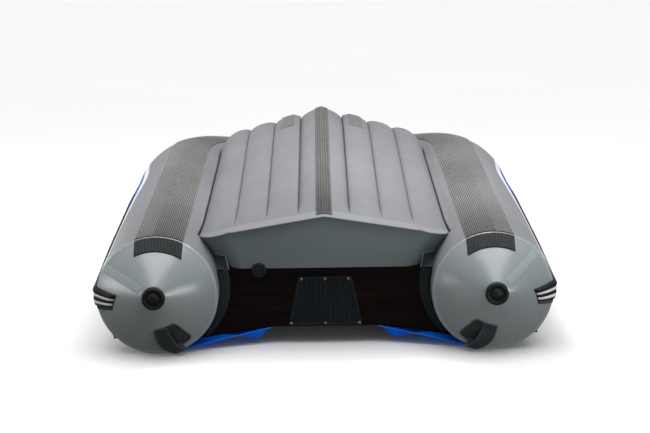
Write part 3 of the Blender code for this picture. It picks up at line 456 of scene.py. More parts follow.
def spokes(axis, count):
    """Evenly spaced directions square to an axis."""
    first = axis.orthogonal().normalized()
    second = axis.cross(first)
    return [first * math.cos(angle) + second * math.sin(angle) for angle in circle(count)]


def mirrored(point, side=-1):
    """The same point on the left for side 1, or on the right for side -1."""
    return Vector((side * point.x, point.y, point.z))


def stern_to_stern(rows):
    """Rows from the left stern to the bow's middle, with their mirrored rows back to the right stern."""
    return rows + [[mirrored(p) for p in row] for row in rows[-2::-1]]


def swell(run, climb, fall, back=1.0):
    """A share that grows along the climb and goes back along the fall, each given as a run and a length."""
    grown = eased((run - climb[0]) / climb[1])
    return grown * (1 - back * eased((run - fall[0]) / fall[1]))


def band_rise(run):
    return BAND_RISE * swell(run, BAND_CLIMB, BAND_FALL, 0.8)


def strake_rise(run):
    return STRAKE_RISE * swell(run, STRAKE_CLIMB, STRAKE_FALL)


def bow_centre(turn):
    sine, cosine = math.sin(turn), math.cos(turn)
    return Vector((-HALF_SPACING * cosine, SIDE_LENGTH + BOW_LENGTH * sine, -BOW_DROP * sine**BOW_DROP_POWER))


def bow_distances():
    """Distance along the bow's centre line at even turns, as far as the bow's middle."""
    found = [0.0]
    for i in range(BOW_SAMPLES):
        start = bow_centre(math.pi / 2 * i / BOW_SAMPLES)
        end = bow_centre(math.pi / 2 * (i + 1) / BOW_SAMPLES)
        found.append(found[-1] + (end - start).length)
    return found


BOW_TABLE = bow_distances()
HALF_RUN = SIDE_LENGTH + BOW_TABLE[-1]


def bow_turn(distance):
    i = min(BOW_SAMPLES - 1, bisect.bisect_right(BOW_TABLE, distance) - 1)
    share = (distance - BOW_TABLE[i]) / (BOW_TABLE[i + 1] - BOW_TABLE[i])
    return math.pi / 2 * (i + share) / BOW_SAMPLES


def tube_station(run):
    """The left half of the hull's tube, from the stern to the bow's middle."""
    if run <= SIDE_LENGTH:
        return Station((-HALF_SPACING, run, 0), (0, 1, 0), TUBE_RADIUS)
    turn = bow_turn(min(run, HALF_RUN) - SIDE_LENGTH)
    sine, cosine = math.sin(turn), math.cos(turn)
    slope = BOW_DROP * BOW_DROP_POWER * sine ** (BOW_DROP_POWER - 1) * cosine
    tangent = (HALF_SPACING * sine, BOW_LENGTH * cosine, -slope)
    return Station(bow_centre(turn), tangent, TUBE_RADIUS * (1 - BOW_TAPER * sine))


def cone_ring(share):
    """Centre and radius of the cone at a share of its length from the tube's end to the tip."""
    radius = TUBE_RADIUS + (CONE_TIP_RADIUS - TUBE_RADIUS) * share + CONE_BULGE * math.sin(math.pi * share)
    return Vector((-HALF_SPACING, -CONE_LENGTH * share, CONE_TIP_SHIFT * share)), radius


def cone_normal(share, angle):
    """The spot on the cone's skin and the direction that points away from it."""
    centre, radius = cone_ring(share)
    ahead_centre, ahead_radius = cone_ring(share + 0.01)
    outward = Vector((-math.sin(angle), 0, math.cos(angle)))
    spot = centre + outward * radius
    slant = ahead_centre + outward * ahead_radius - spot
    return spot, outward, (outward - slant * (outward.dot(slant) / slant.length_squared)).normalized()


def hull_row(run, pairs, side=1):
    """Points over the hull's skin at one run, for pairs of angle and height. side is -1 on the right."""
    row = []
    on_cone = run < 0
    rounding = max(0.0, 1 - abs(run) / CORNER) / 2
    station = None if on_cone else tube_station(run)
    for angle, lift in pairs:
        if on_cone:
            spot, outward, normal = cone_normal(-run / CONE_LENGTH, angle)
            point = spot + (normal * (1 - rounding) + outward * rounding).normalized() * lift
        elif rounding:
            slanted = cone_normal(0, angle)[2]
            outward = station.outward_at(angle)
            point = station.point(angle) + (outward * (1 - rounding) + slanted * rounding).normalized() * lift
        else:
            point = station.point(angle, lift)
        row.append(mirrored(point, side))
    return row


def hull_point(run, angle, lift=0.0, side=1):
    return hull_row(run, [(angle, lift)], side)[0]


def hull_outward(run, angle, side=1):
    """The direction away from the hull's skin, one metre long."""
    return hull_point(run, angle, 1, side) - hull_point(run, angle, 0, side)


def keel_height(y):
    height = KEEL_AT_STERN + KEEL_RISE * (min(y, KEEL_CREST) - STERN_EDGE)
    height -= KEEL_BEND * max(0.0, y - KEEL_CREST) ** 2
    forefoot = max(0.0, y - FOREFOOT_START) / (SIDE_LENGTH + BOW_LENGTH - FOREFOOT_START)
    return height - FOREFOOT_DROP * forefoot**2


def under_crown(across, power=LOBE_FULLNESS):
    """How far a round section lies under its crown, from 0 in its middle to 1 at its edge."""
    return 1 - math.sqrt(max(0.0, 1 - across**power))


def lobe_ripple(x):
    """How deep the skin dips below the line over the lobes: 0 on a crown, the full depth in a seam."""
    inner = 0.0
    for seam in LOBE_SEAMS:
        if x <= seam:
            first, depth = (inner, LOBE_DEPTH) if inner else (-seam, KEEL_LOBE_DEPTH)
            return depth * under_crown(abs(2 * (x - first) / (seam - first) - 1))
        inner = seam
    return LOBE_DEPTH * under_crown(1 - min(1.0, (x - inner) / OUTER_LOBE_HALF))


class BottomLine:
    """The bottom across the boat, between the creases on the two tubes at one run."""

    def __init__(self, run):
        self.station = tube_station(run)
        closing = 0.0 if run <= SIDE_LENGTH else math.sin(bow_turn(run - SIDE_LENGTH))
        self.corner = max(0.0, 1 - (run - STERN_EDGE) / CORNER_FADE)
        self.angle = closing * CREASE_CLOSING - CREASE_ANGLE + CORNER_LIFT * self.corner
        self.edge = self.station.point(self.angle)
        self.sole = self.station.point(SOLE_ANGLE)
        self.width = max(abs(self.edge.x), 1e-6)
        self.y = self.edge.y
        self.bow_share = (self.y - FOREFOOT_START) / (FOREFOOT_END - FOREFOOT_START)
        self.bow_share = max(0.0, min(1.0, self.bow_share))

    def height(self, x):
        x = min(abs(x), self.width)
        keel = keel_height(self.y)
        stand = (EDGE_STAND + EDGE_STAND_MORE * eased(self.y / FOREFOOT_START)) * (1 - self.bow_share**2)
        stand = min(stand, max(0.0, keel - self.edge.z))
        fall = (keel - self.edge.z - stand) / self.width
        inset = min(1.0, (self.width - x) / min(EDGE_ROLL, 0.6 * self.width))
        fade = eased((self.y - STERN_EDGE - LOBES_START) / LOBES_GROW)
        ripple = lobe_ripple(x) * fade * inset * (1 - 0.7 * self.bow_share**2)
        roll = stand * under_crown(1 - inset, 2)
        return keel - fall * x - ripple - roll - self.pucker(x) * fade * inset

    def pucker(self, x):
        """Small pleats across the seams, where the taut skin is gathered by the stitching."""
        near = min([abs(x - seam) for seam in LOBE_SEAMS] + [self.width - x])
        pleat = noise.noise(Vector((x * 6, self.y * 26, 3)))
        return PLEAT_DEPTH * math.exp(-((near / PLEAT_REACH) ** 2)) * pleat

    def sole_point(self, x):
        reach = abs(self.sole.x)
        inside = min(abs(x), reach)
        ripple = SOLE_DEPTH * lobe_ripple(inside) / LOBE_DEPTH * eased((self.sole.y - 0.15) / 0.2)
        ripple *= min(1.0, (reach - inside) / 0.03)
        return Vector((math.copysign(inside, x), self.sole.y, self.sole.z + ripple))

    def aside(self, x):
        """How far x lies out from the straight stretch of the stern edge towards its corner, from 0 to 1."""
        return max(0.0, (abs(x) - HEM_REACH) / (self.width - HEM_REACH)) if self.corner else 0.0


def lengths(points):
    """Distance of each point from the first, along the points."""
    found = [0.0]
    for a, b in zip(points[:-1], points[1:]):
        found.append(found[-1] + (b - a).length)
    return found


def filled(heights, step=0.16):
    """Pairs of share and height with more pairs between them, so that wide rings follow a curved skin."""
    found = [heights[0]]
    for (a, low), (b, high) in zip(heights[:-1], heights[1:]):
        count = max(1, math.ceil(abs(b - a) / step))
        found += [(a + (b - a) * k / count, low + (high - low) * k / count) for k in range(1, count + 1)]
    return found


class Shape:
    """Points and faces that grow into one mesh, with surface coordinates in metres."""

    def __init__(self):
        self.points, self.faces, self.marks, self.finishes = [], [], [], []

    def face(self, corners, marks, finish=0):
        self.faces.append(corners)
        self.marks.append(marks)
        self.finishes.append(finish)

    def grid(self, rows, around=False, ends=False, finish=0):
        """Joins rows of equally many points. finish is a material's number, or one for each column."""
        first, width = len(self.points), len(rows[0])
        middle_row = rows[len(rows) // 2]
        across = lengths(middle_row + middle_row[:1] if around else middle_row)
        along = lengths([row[width // 2] for row in rows])
        finishes = [finish] * width if isinstance(finish, int) else finish
        self.points += [p for row in rows for p in row]
        for i in range(len(rows) - 1):
            a, b = first + i * width, first + (i + 1) * width
            here, there = along[i], along[i + 1]
            for j in range(width if around else width - 1):
                k = (j + 1) % width
                left, right = across[j], across[j + 1]
                marks = ((here, left), (here, right), (there, right), (there, left))
                self.face((a + j, a + k, b + k, b + j), marks, finishes[j])
        if ends:
            last = first + (len(rows) - 1) * width
            for start, order in ((first, 1), (last, -1)):
                corners = tuple(start + j for j in range(width))[::order]
                self.face(corners, tuple((self.points[v].x, self.points[v].z) for v in corners), finishes[0])
        return self

    def closed(self, rows, finish=0):
        """Joins rings of points to a body with closed ends."""
        return self.grid(rows, around=True, ends=True, finish=finish)

    def turned(self, profile, place, direction, steps=40, finish=0, closed=True):
        """Turns pairs of radius and height about an axis that points along direction."""
        direction = Vector(direction).normalized()
        rows = []
        for radius, height in profile:
            middle = Vector(place) + direction * height
            rows.append([middle + spoke * max(radius, 1e-5) for spoke in spokes(direction, steps)])
        return self.grid(rows, around=True, ends=closed, finish=finish)

    def pipe(self, path, radius, sides=16, finish=0, flat=1.0):
        """A round rod along a path. radius is a number or one for each point, flat squeezes the section."""
        radii = [radius] * len(path) if isinstance(radius, (int, float)) else radius
        normal = None
        rows = []
        for i, spot in enumerate(path):
            tangent = (path[min(i + 1, len(path) - 1)] - path[max(i - 1, 0)]).normalized()
            normal = normal or tangent.orthogonal().normalized()
            normal = (normal - tangent * normal.dot(tangent)).normalized()
            other = tangent.cross(normal)
            section = [normal * math.cos(a) * flat + other * math.sin(a) for a in circle(sides)]
            rows.append([spot + spoke * radii[i] for spoke in section])
        return self.closed(rows, finish)

    def patch(self, place, half_long, half_wide, heights, power=2.6, steps=56, finish=0):
        """A pad with a rounded outline on a surface. place turns local metres and a height into a point."""
        rows = []
        for share, lift in filled(heights):
            row = []
            for angle in circle(steps):
                c, s = math.cos(angle), math.sin(angle)
                size = (abs(c) ** power + abs(s) ** power) ** (-1 / power) * share
                row.append(place(half_long * c * size, half_wide * s * size, lift))
            rows.append(row)
        return self.closed(rows, finish)

    def band(self, runs, section, side=1, whole=False, finish=0):
        """Sweeps a closed section along the hull. section gives pairs of angle and height at a run."""
        rows = [hull_row(run, section(run), side) for run in runs]
        return self.closed(stern_to_stern(rows) if whole else rows, finish)

    def made(self, name, *finishes, body="hull", stands_for=(), slot=None, sharp=38):
        """Makes the piece, set down in the frame where the boat lies."""
        mesh = bpy.data.meshes.new(name)
        mesh.from_pydata([tuple(BOAT @ p) for p in self.points], [], self.faces)
        layer = mesh.uv_layers.new(name="surface")
        layer.data.foreach_set("uv", [x for face in self.marks for mark in face for x in mark])
        for finish in finishes:
            mesh.materials.append(finish_of(finish))
        mesh.polygons.foreach_set("material_index", self.finishes)
        bm = bmesh.new()
        bm.from_mesh(mesh)
        bmesh.ops.recalc_face_normals(bm, faces=bm.faces)
        bm.to_mesh(mesh)
        bm.free()
        mesh.shade_smooth()
        mesh.set_sharp_from_angle(angle=math.radians(sharp))
        piece = bpy.data.objects.new(name, mesh)
        bpy.context.scene.collection.objects.link(piece)
        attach(piece, body)
        if stands_for:
            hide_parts(*stands_for)
        return piece


class Finish:
    """A material, with the few steps that its nodes are built from."""

    def __init__(self, name, roughness, metallic=0.0, specular=0.5, coat=0.0):
        self.material = bpy.data.materials.new("boat_" + name)
        self.material.use_nodes = True
        self.tree = self.material.node_tree
        self.shader = self.tree.nodes["Principled BSDF"]
        constant = {
            "Roughness": roughness, "Metallic": metallic, "Specular IOR Level": specular, "Coat Weight": coat
        }
        for socket, value in constant.items():
            self.shader.inputs[socket].default_value = value
        self.space = self.node("ShaderNodeTexCoord").outputs["Object"]
        surface = self.node("ShaderNodeUVMap")
        surface.uv_map = "surface"
        self.surface = surface.outputs["UV"]
        self.heights = None

    def node(self, kind, **inputs):
        made = self.tree.nodes.new(kind)
        for name, value in inputs.items():
            self.feed(made.inputs[name.replace("_", " ").title()], value)
        return made

    def feed(self, socket, value):
        if isinstance(value, bpy.types.NodeSocket):
            self.tree.links.new(value, socket)
        else:
            socket.default_value = value

    def noise(self, scale, detail, stretch=None):
        """Soft noise from 0 to 1."""
        space = self.space
        if stretch:
            space = self.node("ShaderNodeMapping", vector=space, scale=stretch).outputs["Vector"]
        return self.node("ShaderNodeTexNoise", vector=space, scale=scale, detail=detail).outputs["Fac"]

    def lines(self, axis, pitch, distortion=0.0):
        """Even waves of the given pitch across the surface coordinates."""
        scale = math.pi / 10 / pitch
        wave = self.node("ShaderNodeTexWave", vector=self.surface, scale=scale, distortion=distortion)
        wave.bands_direction = axis
        wave.wave_profile = "SIN"
        return wave.outputs["Fac"]

    def math(self, operation, a, b=0.0):
        made = self.tree.nodes.new("ShaderNodeMath")
        made.operation = operation
        self.feed(made.inputs[0], a)
        self.feed(made.inputs[1], b)
        return made.outputs[0]

    def ranged(self, value, low, high, first=0.0, last=1.0):
        made = self.node(
            "ShaderNodeMapRange", from_min=low, from_max=high, to_min=first, to_max=last, value=value
        )
        return made.outputs["Result"]

    def mixed(self, factor, first, second):
        made = self.tree.nodes.new("ShaderNodeMix")
        made.data_type = "RGBA"
        self.feed(made.inputs[0], factor)
        for socket, value in ((made.inputs[6], first), (made.inputs[7], second)):
            self.feed(socket, value if isinstance(value, bpy.types.NodeSocket) else (*value, 1))
        return made.outputs[2]

    def colour(self, value):
        self.feed(self.shader.inputs["Base Color"], value)

    def roughness(self, value, low, high):
        """Lets the roughness vary between two values with noise or grain."""
        self.feed(self.shader.inputs["Roughness"], self.ranged(value, 0.3, 0.7, low, high))

    def bump(self, height, distance, strength=1.0):
        """Adds one layer of relief over the layers before it. distance is the relief's depth in metres."""
        made = self.node("ShaderNodeBump", distance=distance, strength=strength, height=height)
        if self.heights:
            self.feed(made.inputs["Normal"], self.heights)
        self.heights = made.outputs["Normal"]
        self.feed(self.shader.inputs["Normal"], self.heights)


def shade(colour, factor):
    return tuple(min(1.0, c * factor) for c in colour)


def coated_fabric(name, colour, roughness=0.5, dust_and_highlight=0.05, gloss=0.2, slack=1.0):
    """Fabric with a smooth coating: faint threads, soft clouds in the colour and fine handling marks."""
    weave = bpy.context.scene.boat_sizes.weave_pitch
    finish = Finish(name, roughness, specular=gloss)
    clouds = finish.ranged(finish.noise(2.6, 4), 0.35, 0.65)
    specks = finish.ranged(finish.noise(260, 2), 0.35, 0.7)
    streaks = finish.ranged(finish.noise(5, 5, stretch=(3.5, 0.5, 3.5)), 0.5, 0.75)
    base = finish.mixed(clouds, shade(colour, 0.95), shade(colour, 1.05))
    base = finish.mixed(finish.math("MULTIPLY", specks, 0.25), base, shade(colour, 0.86))
    base = finish.mixed(finish.math("MULTIPLY", streaks, dust_and_highlight), base, (0.62, 0.62, 0.6))
    finish.colour(base)
    finish.roughness(finish.noise(9, 4), roughness - 0.05 * slack, roughness + 0.09 * slack)
    threads = finish.math("MULTIPLY", finish.lines("X", weave), finish.lines("Y", weave))
    finish.bump(threads, 0.00009, 0.5)
    finish.bump(finish.noise(34, 3), 0.0006 * slack, 0.35)
    finish.bump(finish.noise(5, 2, stretch=(2.2, 0.7, 2.2)), 0.004 * slack, 0.25)
    return finish.material


def moulded_rubber(name, colour, roughness=0.5, wear=1.6):
    """Moulded rubber: a fine grain, bloom in patches and paler, rubbed edges."""
    finish = Finish(name, roughness, specular=0.2)
    bloom = finish.ranged(finish.noise(14, 5), 0.42, 0.72)
    edges = finish.node("ShaderNodeNewGeometry").outputs["Pointiness"]
    rubbed = finish.ranged(edges, 0.51, 0.62)
    base = finish.mixed(bloom, shade(colour, 0.88), shade(colour, 1.22))
    finish.colour(finish.mixed(rubbed, base, shade(colour, wear)))
    finish.roughness(finish.noise(30, 4), roughness - 0.08, roughness + 0.1)
    finish.bump(finish.noise(700, 2), 0.00025, 0.5)
    finish.bump(finish.noise(45, 3), 0.0008, 0.2)
    return finish.material


def ribbed_rubber(name, colour, cross_pitch=0.0075, dust_and_highlight=0.35, near=0.75):
    """Extruded strip: lines across the ribs, painted shade in the grooves, crowns painted paler as painted
    highlights and a darker stern end.
    """
    finish = Finish(name, 0.62, specular=0.2)
    split = finish.node("ShaderNodeSeparateXYZ", vector=finish.space)
    stern = finish.ranged(split.outputs["Y"], ORIGIN.y, ORIGIN.y + 0.55, 1.0, 0.0)
    edges = finish.node("ShaderNodeNewGeometry").outputs["Pointiness"]
    grooves = finish.ranged(edges, 0.4, 0.5, 1, 0)
    crowns = finish.ranged(edges, 0.51, 0.6)
    patches = finish.ranged(finish.noise(4.5, 5, stretch=(1, 0.35, 1)), 0.35, 0.68)
    base = finish.mixed(patches, shade(colour, 0.82), shade(colour, 1.15))
    # Painted shade: the grooves are painted darker.
    base = finish.mixed(finish.math("MULTIPLY", grooves, 0.55), base, shade(colour, 0.35))
    # Painted highlight: the crowns are painted paler, as if they caught the light.
    base = finish.mixed(finish.math("MULTIPLY", crowns, dust_and_highlight), base, shade(colour, 1.7))
    cross = finish.lines("X", cross_pitch)
    base = finish.mixed(finish.ranged(cross, 0.0, 0.3, 0.3, 0), base, shade(colour, 0.45))
    finish.colour(finish.mixed(finish.math("MULTIPLY", stern, 1 - near), base, shade(colour, 0.12)))
    finish.roughness(finish.noise(20, 4), 0.52, 0.72)
    finish.bump(cross, 0.0009, 0.6)
    finish.bump(finish.noise(420, 2), 0.0003, 0.4)
    return finish.material


def varnished_board(name, colour):
    """Dark varnished plywood: long grain under a glossy coat with fine scratches."""
    finish = Finish(name, 0.38, specular=0.08)
    grain = finish.noise(38, 6, stretch=(0.08, 1, 1))
    base = finish.mixed(finish.ranged(grain, 0.35, 0.65), shade(colour, 0.6), shade(colour, 1.8))
    finish.colour(base)
    finish.roughness(finish.noise(60, 5, stretch=(0.1, 1, 1)), 0.32, 0.46)
    finish.bump(grain, 0.0003, 0.3)
    return finish.material


def moulded_plastic(name, colour, roughness=0.45, gloss=0.5):
    """Hard plastic with the fine orange-peel skin of its mould."""
    finish = Finish(name, roughness, specular=gloss)
    cloud = finish.ranged(finish.noise(22, 4), 0.4, 0.7)
    finish.colour(finish.mixed(cloud, shade(colour, 0.9), shade(colour, 1.18)))
    finish.roughness(finish.noise(50, 3), roughness - 0.07, roughness + 0.08)
    finish.bump(finish.noise(900, 1), 0.0002, 0.4)
    return finish.material


def turned_brass(name, colour):
    finish = Finish(name, 0.35, metallic=1.0)
    tarnish = finish.ranged(finish.noise(400, 3), 0.4, 0.7)
    finish.colour(finish.mixed(tarnish, colour, shade(colour, 0.45)))
    finish.roughness(finish.noise(500, 3), 0.28, 0.5)
    finish.bump(finish.noise(900, 2), 0.0002, 0.3)
    return finish.material


def bench_plywood(name, colour):
    """Varnished plywood: grain along the bench, with the layers showing as lines on the edges."""
    finish = Finish(name, 0.4, specular=0.45, coat=0.3)
    finish.shader.inputs["Coat Roughness"].default_value = 0.18
    grain = finish.noise(26, 8, stretch=(0.1, 1, 2.5))
    base = finish.mixed(finish.ranged(grain, 0.38, 0.62), shade(colour, 0.62), shade(colour, 1.2))
    pores = finish.ranged(finish.noise(210, 3, stretch=(0.04, 1, 1)), 0.55, 0.75)
    finish.colour(finish.mixed(finish.math("MULTIPLY", pores, 0.5), base, shade(colour, 0.35)))
    finish.roughness(grain, 0.34, 0.48)
    finish.bump(pores, 0.0002, 0.4)
    return finish.material


def braided_rope(name, colour):
    """Synthetic rope: fibres that catch the light along the strands."""
    finish = Finish(name, 0.6, specular=0.4)
    fibres = finish.lines("Y", 0.0011, distortion=1.5)
    finish.colour(finish.mixed(finish.ranged(fibres, 0.2, 0.9), shade(colour, 0.6), shade(colour, 2.6)))
    finish.roughness(finish.noise(300, 2), 0.5, 0.7)
    finish.bump(fibres, 0.0003, 0.6)
    return finish.material


def pale_floor(name):
    finish = Finish(name, 0.6, specular=0.2)
    cloud = finish.ranged(finish.noise(0.6, 2), 0.3, 0.7)
    finish.colour(finish.mixed(cloud, (0.98, 0.98, 0.98), (1.0, 1.0, 1.0)))
    return finish.material


# Each finish of the boat: its maker, its colour with a factor, and the values that differ from the maker's
FINISHES = {
    "tube_fabric": (coated_fabric, "tube", 1, {}),
    "bottom_fabric": (coated_fabric, "tube", 1, {"roughness": 0.52}),
    "hem_fabric": (coated_fabric, "tube", 1.2, {}),
    "cone_fabric": (coated_fabric, "cone", 1, {"roughness": 0.25, "dust_and_highlight": 0.02, "gloss": 1.0, "slack": 0.2}),
    "ring_fabric": (
        coated_fabric, "cone", 1.12, {"roughness": 0.28, "dust_and_highlight": 0.02, "gloss": 0.8, "slack": 0.2}
    ),
    "panel_fabric": (coated_fabric, "panel", 1, {"dust_and_highlight": 0.02}),
    "tape_fabric": (coated_fabric, "tape", 1, {"roughness": 0.4, "dust_and_highlight": 0.02}),
    "white_fabric": (coated_fabric, "white", 1, {"roughness": 0.45, "dust_and_highlight": 0.02}),
    # The wings take the blue at full strength, the band on the tube 0.6 of it: the wings' brighter blue is
    # painted light for the light that the floor bounces onto them.
    "blue_fabric": (coated_fabric, "blue", 1, {"roughness": 0.4, "dust_and_highlight": 0.0}),
    "band_fabric": (coated_fabric, "blue", 0.6, {"roughness": 0.4, "dust_and_highlight": 0.0}),
    # The crown finishes are paler copies of the same rubber, as painted highlights on the ribs' crowns; the
    # guards' outer crowns are painted palest.
    "guard_rubber": (ribbed_rubber, "guard", 0.66, {"dust_and_highlight": 0.2, "near": 0.45}),
    "guard_worn": (ribbed_rubber, "guard", 1.75, {"dust_and_highlight": 0.2, "near": 0.7}),
    "guard_crown": (ribbed_rubber, "guard", 1.6, {"dust_and_highlight": 0.2, "near": 0.45}),
    "keel_rubber": (ribbed_rubber, "guard", 0.8, {"near": 0.4}),
    "lobe_rubber": (ribbed_rubber, "guard", 1.15, {}),
    "pad_rubber": (ribbed_rubber, "pad", 0.7, {"cross_pitch": 0.0042, "dust_and_highlight": 0.2, "near": 1.0}),
    "pad_crown": (ribbed_rubber, "pad", 2.2, {"cross_pitch": 0.0042, "dust_and_highlight": 0.2, "near": 1.0}),
    "black_rubber": (moulded_rubber, "rubber", 1, {}),
    "lug_rubber": (moulded_rubber, "rubber", 3.2, {"roughness": 0.36, "wear": 3.0}),
    "flange_rubber": (moulded_rubber, "flange", 1, {"roughness": 0.6}),
    "white_rubber": (moulded_rubber, "white", 1, {"roughness": 0.45, "wear": 1.0}),
    "holder_rubber": (moulded_rubber, "holder", 1, {}),
    "tab_rubber": (moulded_rubber, "holder", 2.6, {"roughness": 0.55}),
    "board": (varnished_board, "board", 1, {}),
    "plate_plastic": (moulded_plastic, "plate", 1, {"roughness": 0.4, "gloss": 0.15}),
    "nylon": (moulded_plastic, "nylon", 1, {}),
    "brass": (turned_brass, "brass", 1, {}),
    "bench_wood": (bench_plywood, "wood", 1, {}),
    "rope": (braided_rope, "rope", 1, {}),
}


def finish_of(name):
    """The material of a finish, made the first time that it is asked for."""
    found = bpy.data.materials.get("boat_" + name)
    if found:
        return found
    maker, colour, factor, values = FINISHES[name]
    return maker(name, shade(getattr(bpy.context.scene.boat_colours, colour), factor), **values)


def ribbed(low, high, pitch, heights):
    """Pairs of distance and height over a strip with rounded ribs, from one edge to the other."""
    base, crown = heights
    count = max(1, round((high - low) / pitch))
    step = (high - low) / count
    pairs = [(low, 0.0), (low, base * 0.7)]
    for i in range(count):
        pairs += [(low + (i + share) * step, base + (crown - base) * rise) for share, rise in RIB_SHAPE]
    return pairs + [(high, base * 0.7), (high, 0.0)]


def crowns_of(section, heights, highlit_from=-math.inf):
    """Material numbers of a ribbed section's faces: 1 on the crowns that take the palest painted highlight, 2
    on the other crowns, 0 elsewhere.
    """
    base, crown = heights
    limit = base + (crown - base) * RIB_CROWN
    numbers = []
    for a, b in zip(section, section[1:] + section[:1]):
        numbers.append(0 if min(a[1], b[1]) < limit else 1 if a[0] >= highlit_from else 2)
    return numbers


def flat_strip(low, high, thick, step=None, edge=0.0012, count=None):
    """Pairs of distance and height over a thin strip with softened edges."""
    inner = [(d, thick) for d in spread(low + edge, high - edge, step, count)]
    start = [(low, EDGE_LIFT), (low + edge * 0.3, thick * 0.75)]
    return start + inner + [(high - edge * 0.3, thick * 0.75), (high, EDGE_LIFT)]


def tube_runs(start, end, step=0.022):
    """Runs with a row at the turn from the straight tube to the bow."""
    if start < SIDE_LENGTH < end:
        return spread(start, SIDE_LENGTH, step) + spread(SIDE_LENGTH, end, step)[1:]
    return spread(start, end, step)


def hull_rings(pairs, count, side):
    """Rings round the whole tube or cone, for pairs of run and height."""
    return [hull_row(run, [(angle, lift) for angle in circle(count)], side) for run, lift in pairs]


def tube_section(run):
    """Pairs of angle and height round the tube, gathered in small puckers beside the girth seams."""
    near = sum(math.exp(-(((run - seam) / SEAM_PUCKER_REACH) ** 2)) for seam in GIRTH_SEAMS)
    pairs = []
    for angle in circle(TUBE_FACETS):
        fold = noise.noise(Vector((math.cos(angle) * 5, math.sin(angle) * 5, run * 9)))
        pairs.append((angle, SEAM_PUCKER * near * fold))
    return pairs


def make_tubes(sizes):
    """The tube's skin from stern to stern, with its girth seams, and the white and blue bands."""
    Shape().band(tube_runs(0, HALF_RUN), tube_section, whole=True).made(
        "tube_skin", "tube_fabric",
        stands_for=("side_tube_left", "side_tube_right", "bow_tube"), slot="tube_fabric", sharp=60,
    )
    tapes = Shape()
    strip = flat_strip(-sizes.tape_width, sizes.tape_width, sizes.tape_thickness, 0.01)
    for _, side in SIDES:
        for seam in GIRTH_SEAMS:
            pairs = [(seam + along, lift) for along, lift in strip]
            tapes.grid(hull_rings(pairs, TUBE_FACETS, side), around=True)
    tapes.made("girth_tapes", "tube_fabric", slot="tube_fabric")
    make_bands(sizes)


def make_bands(sizes):
    """The white band and the blue band beside it, down to the strake."""
    thick = sizes.tape_thickness * 1.6

    def white(run):
        rise = band_rise(run)
        return flat_strip(WHITE_TOP - rise, BLUE_TOP - BAND_GAP - rise, thick, math.radians(2), BAND_EDGE)

    def blue(run):
        foot = STRAKE_TOP + BAND_GAP - strake_rise(run)
        return flat_strip(BLUE_TOP - band_rise(run), foot, thick, edge=BAND_EDGE, count=12)

    runs = tube_runs(0.002, HALF_RUN)
    Shape().band(runs, white, whole=True).made("white_band", "white_fabric")
    Shape().band(runs, blue, whole=True).made("blue_band", "band_fabric", slot="blue_fabric")


def cone_rows(shares, section, side, middle=0.0):
    """Rows down the cone of a strip that keeps its width, for pairs of distance and height."""
    rows = []
    for share in shares:
        radius = cone_ring(share)[1]
        pairs = [(middle + d / radius, lift) for d, lift in section]
        rows.append(hull_row(-CONE_LENGTH * share, pairs, side))
    return rows


def make_cones(sizes):
    """Stern cones with the ring seam, the joint of the cone's fabric and the rubber cap on the tip."""
    thick, half = sizes.tape_thickness, sizes.cone_tape_width / 2
    ring = flat_strip(*RING_TAPE, thick, 0.003)
    closing = flat_strip(-half, half, thick * 0.8, 0.005)
    for name, side in SIDES:
        skin = [(-0.0001 - CONE_LENGTH * share, 0) for share in spread(0, 1, 0.025)]
        Shape().closed(hull_rings(skin, CONE_FACETS, side)).made(
            f"cone_skin_{name}", "cone_fabric",
            stands_for=(f"stern_cone_{name}",), slot="cone_fabric", sharp=60,
        )
        seams = Shape().grid(hull_rings(ring, CONE_FACETS, side), around=True, finish=1)
        seams.closed(cone_rows(spread(0.04, 0.93, 0.03), closing, side, CONE_BAND_ANGLES[name]))
        seams.made(f"cone_seams_{name}", "tape_fabric", "ring_fabric", slot="cone_fabric")
        Shape().turned(CAP_PROFILE, mirrored(cone_ring(1)[0], side), AFT, 64).made(
            f"cone_cap_rubber_{name}", "black_rubber", stands_for=(f"cone_cap_{name}",), slot="black_rubber"
        )


def half_samples(width):
    """The same number of distances at every run, squeezed towards the middle where the bow narrows."""
    samples = [0.0]
    marks = [0.0, *LOBE_SEAMS, BOTTOM_HALF]
    for i, (start, end) in enumerate(zip(marks[:-1], marks[1:])):
        for share in spread(0, 1, count=14 if i else 9)[1:]:
            bunched = (1 - math.cos(share * math.pi)) / 2 if i else math.sin(share * math.pi / 2)
            samples.append(min(width, start + (end - start) * bunched))
    samples[-1] = width
    return samples


def skin_point(line, run, x, lift=0.0):
    """A point over the bottom's skin. At the stern its corners run out flat, ahead of the middle."""
    aside = line.aside(x)
    straight = line.height(HEM_REACH) + (line.edge.z - line.height(HEM_REACH)) * aside
    flat = (1 - eased((run - STERN_EDGE) / CORNER_FLAT)) if aside else 0.0
    height = line.height(x) * (1 - flat) + straight * flat
    drop = STERN_LIP * max(0.0, 1 - (run - STERN_EDGE) / STERN_LIP_REACH) ** 2 * (1 - aside)
    return Vector((x, line.y + CORNER_SWEEP * line.corner * aside**2, height - drop + lift))


def foot_point(line, run, x):
    """The point of the sole under a distance across the skin."""
    foot = line.sole_point(x * abs(line.sole.x) / line.width)
    foot.y += (SOLE_EDGE - STERN_EDGE) * max(0.0, 1 - (run - STERN_EDGE) / SOLE_EDGE_FADE)
    foot.y += FOOT_SWEEP * line.corner * line.aside(x) ** 2
    return foot


def bottom_ring(run):
    """Points round the bottom at one run: over the skin, down beside the tube and back under the sole."""
    line = BottomLine(run)
    samples = half_samples(line.width)
    skin = [skin_point(line, run, x) for x in samples]
    sole = [foot_point(line, run, x) for x in samples]
    side = []
    for share in spread(0, 1, count=6)[1:-1]:
        p = line.station.point(line.angle + (SOLE_ANGLE - line.angle) * share)
        side.append(Vector((abs(p.x), skin[-1].y + (sole[-1].y - skin[-1].y) * share, p.z)))
    half = skin + side + sole[::-1]
    return half + [mirrored(p) for p in half[-2:0:-1]]


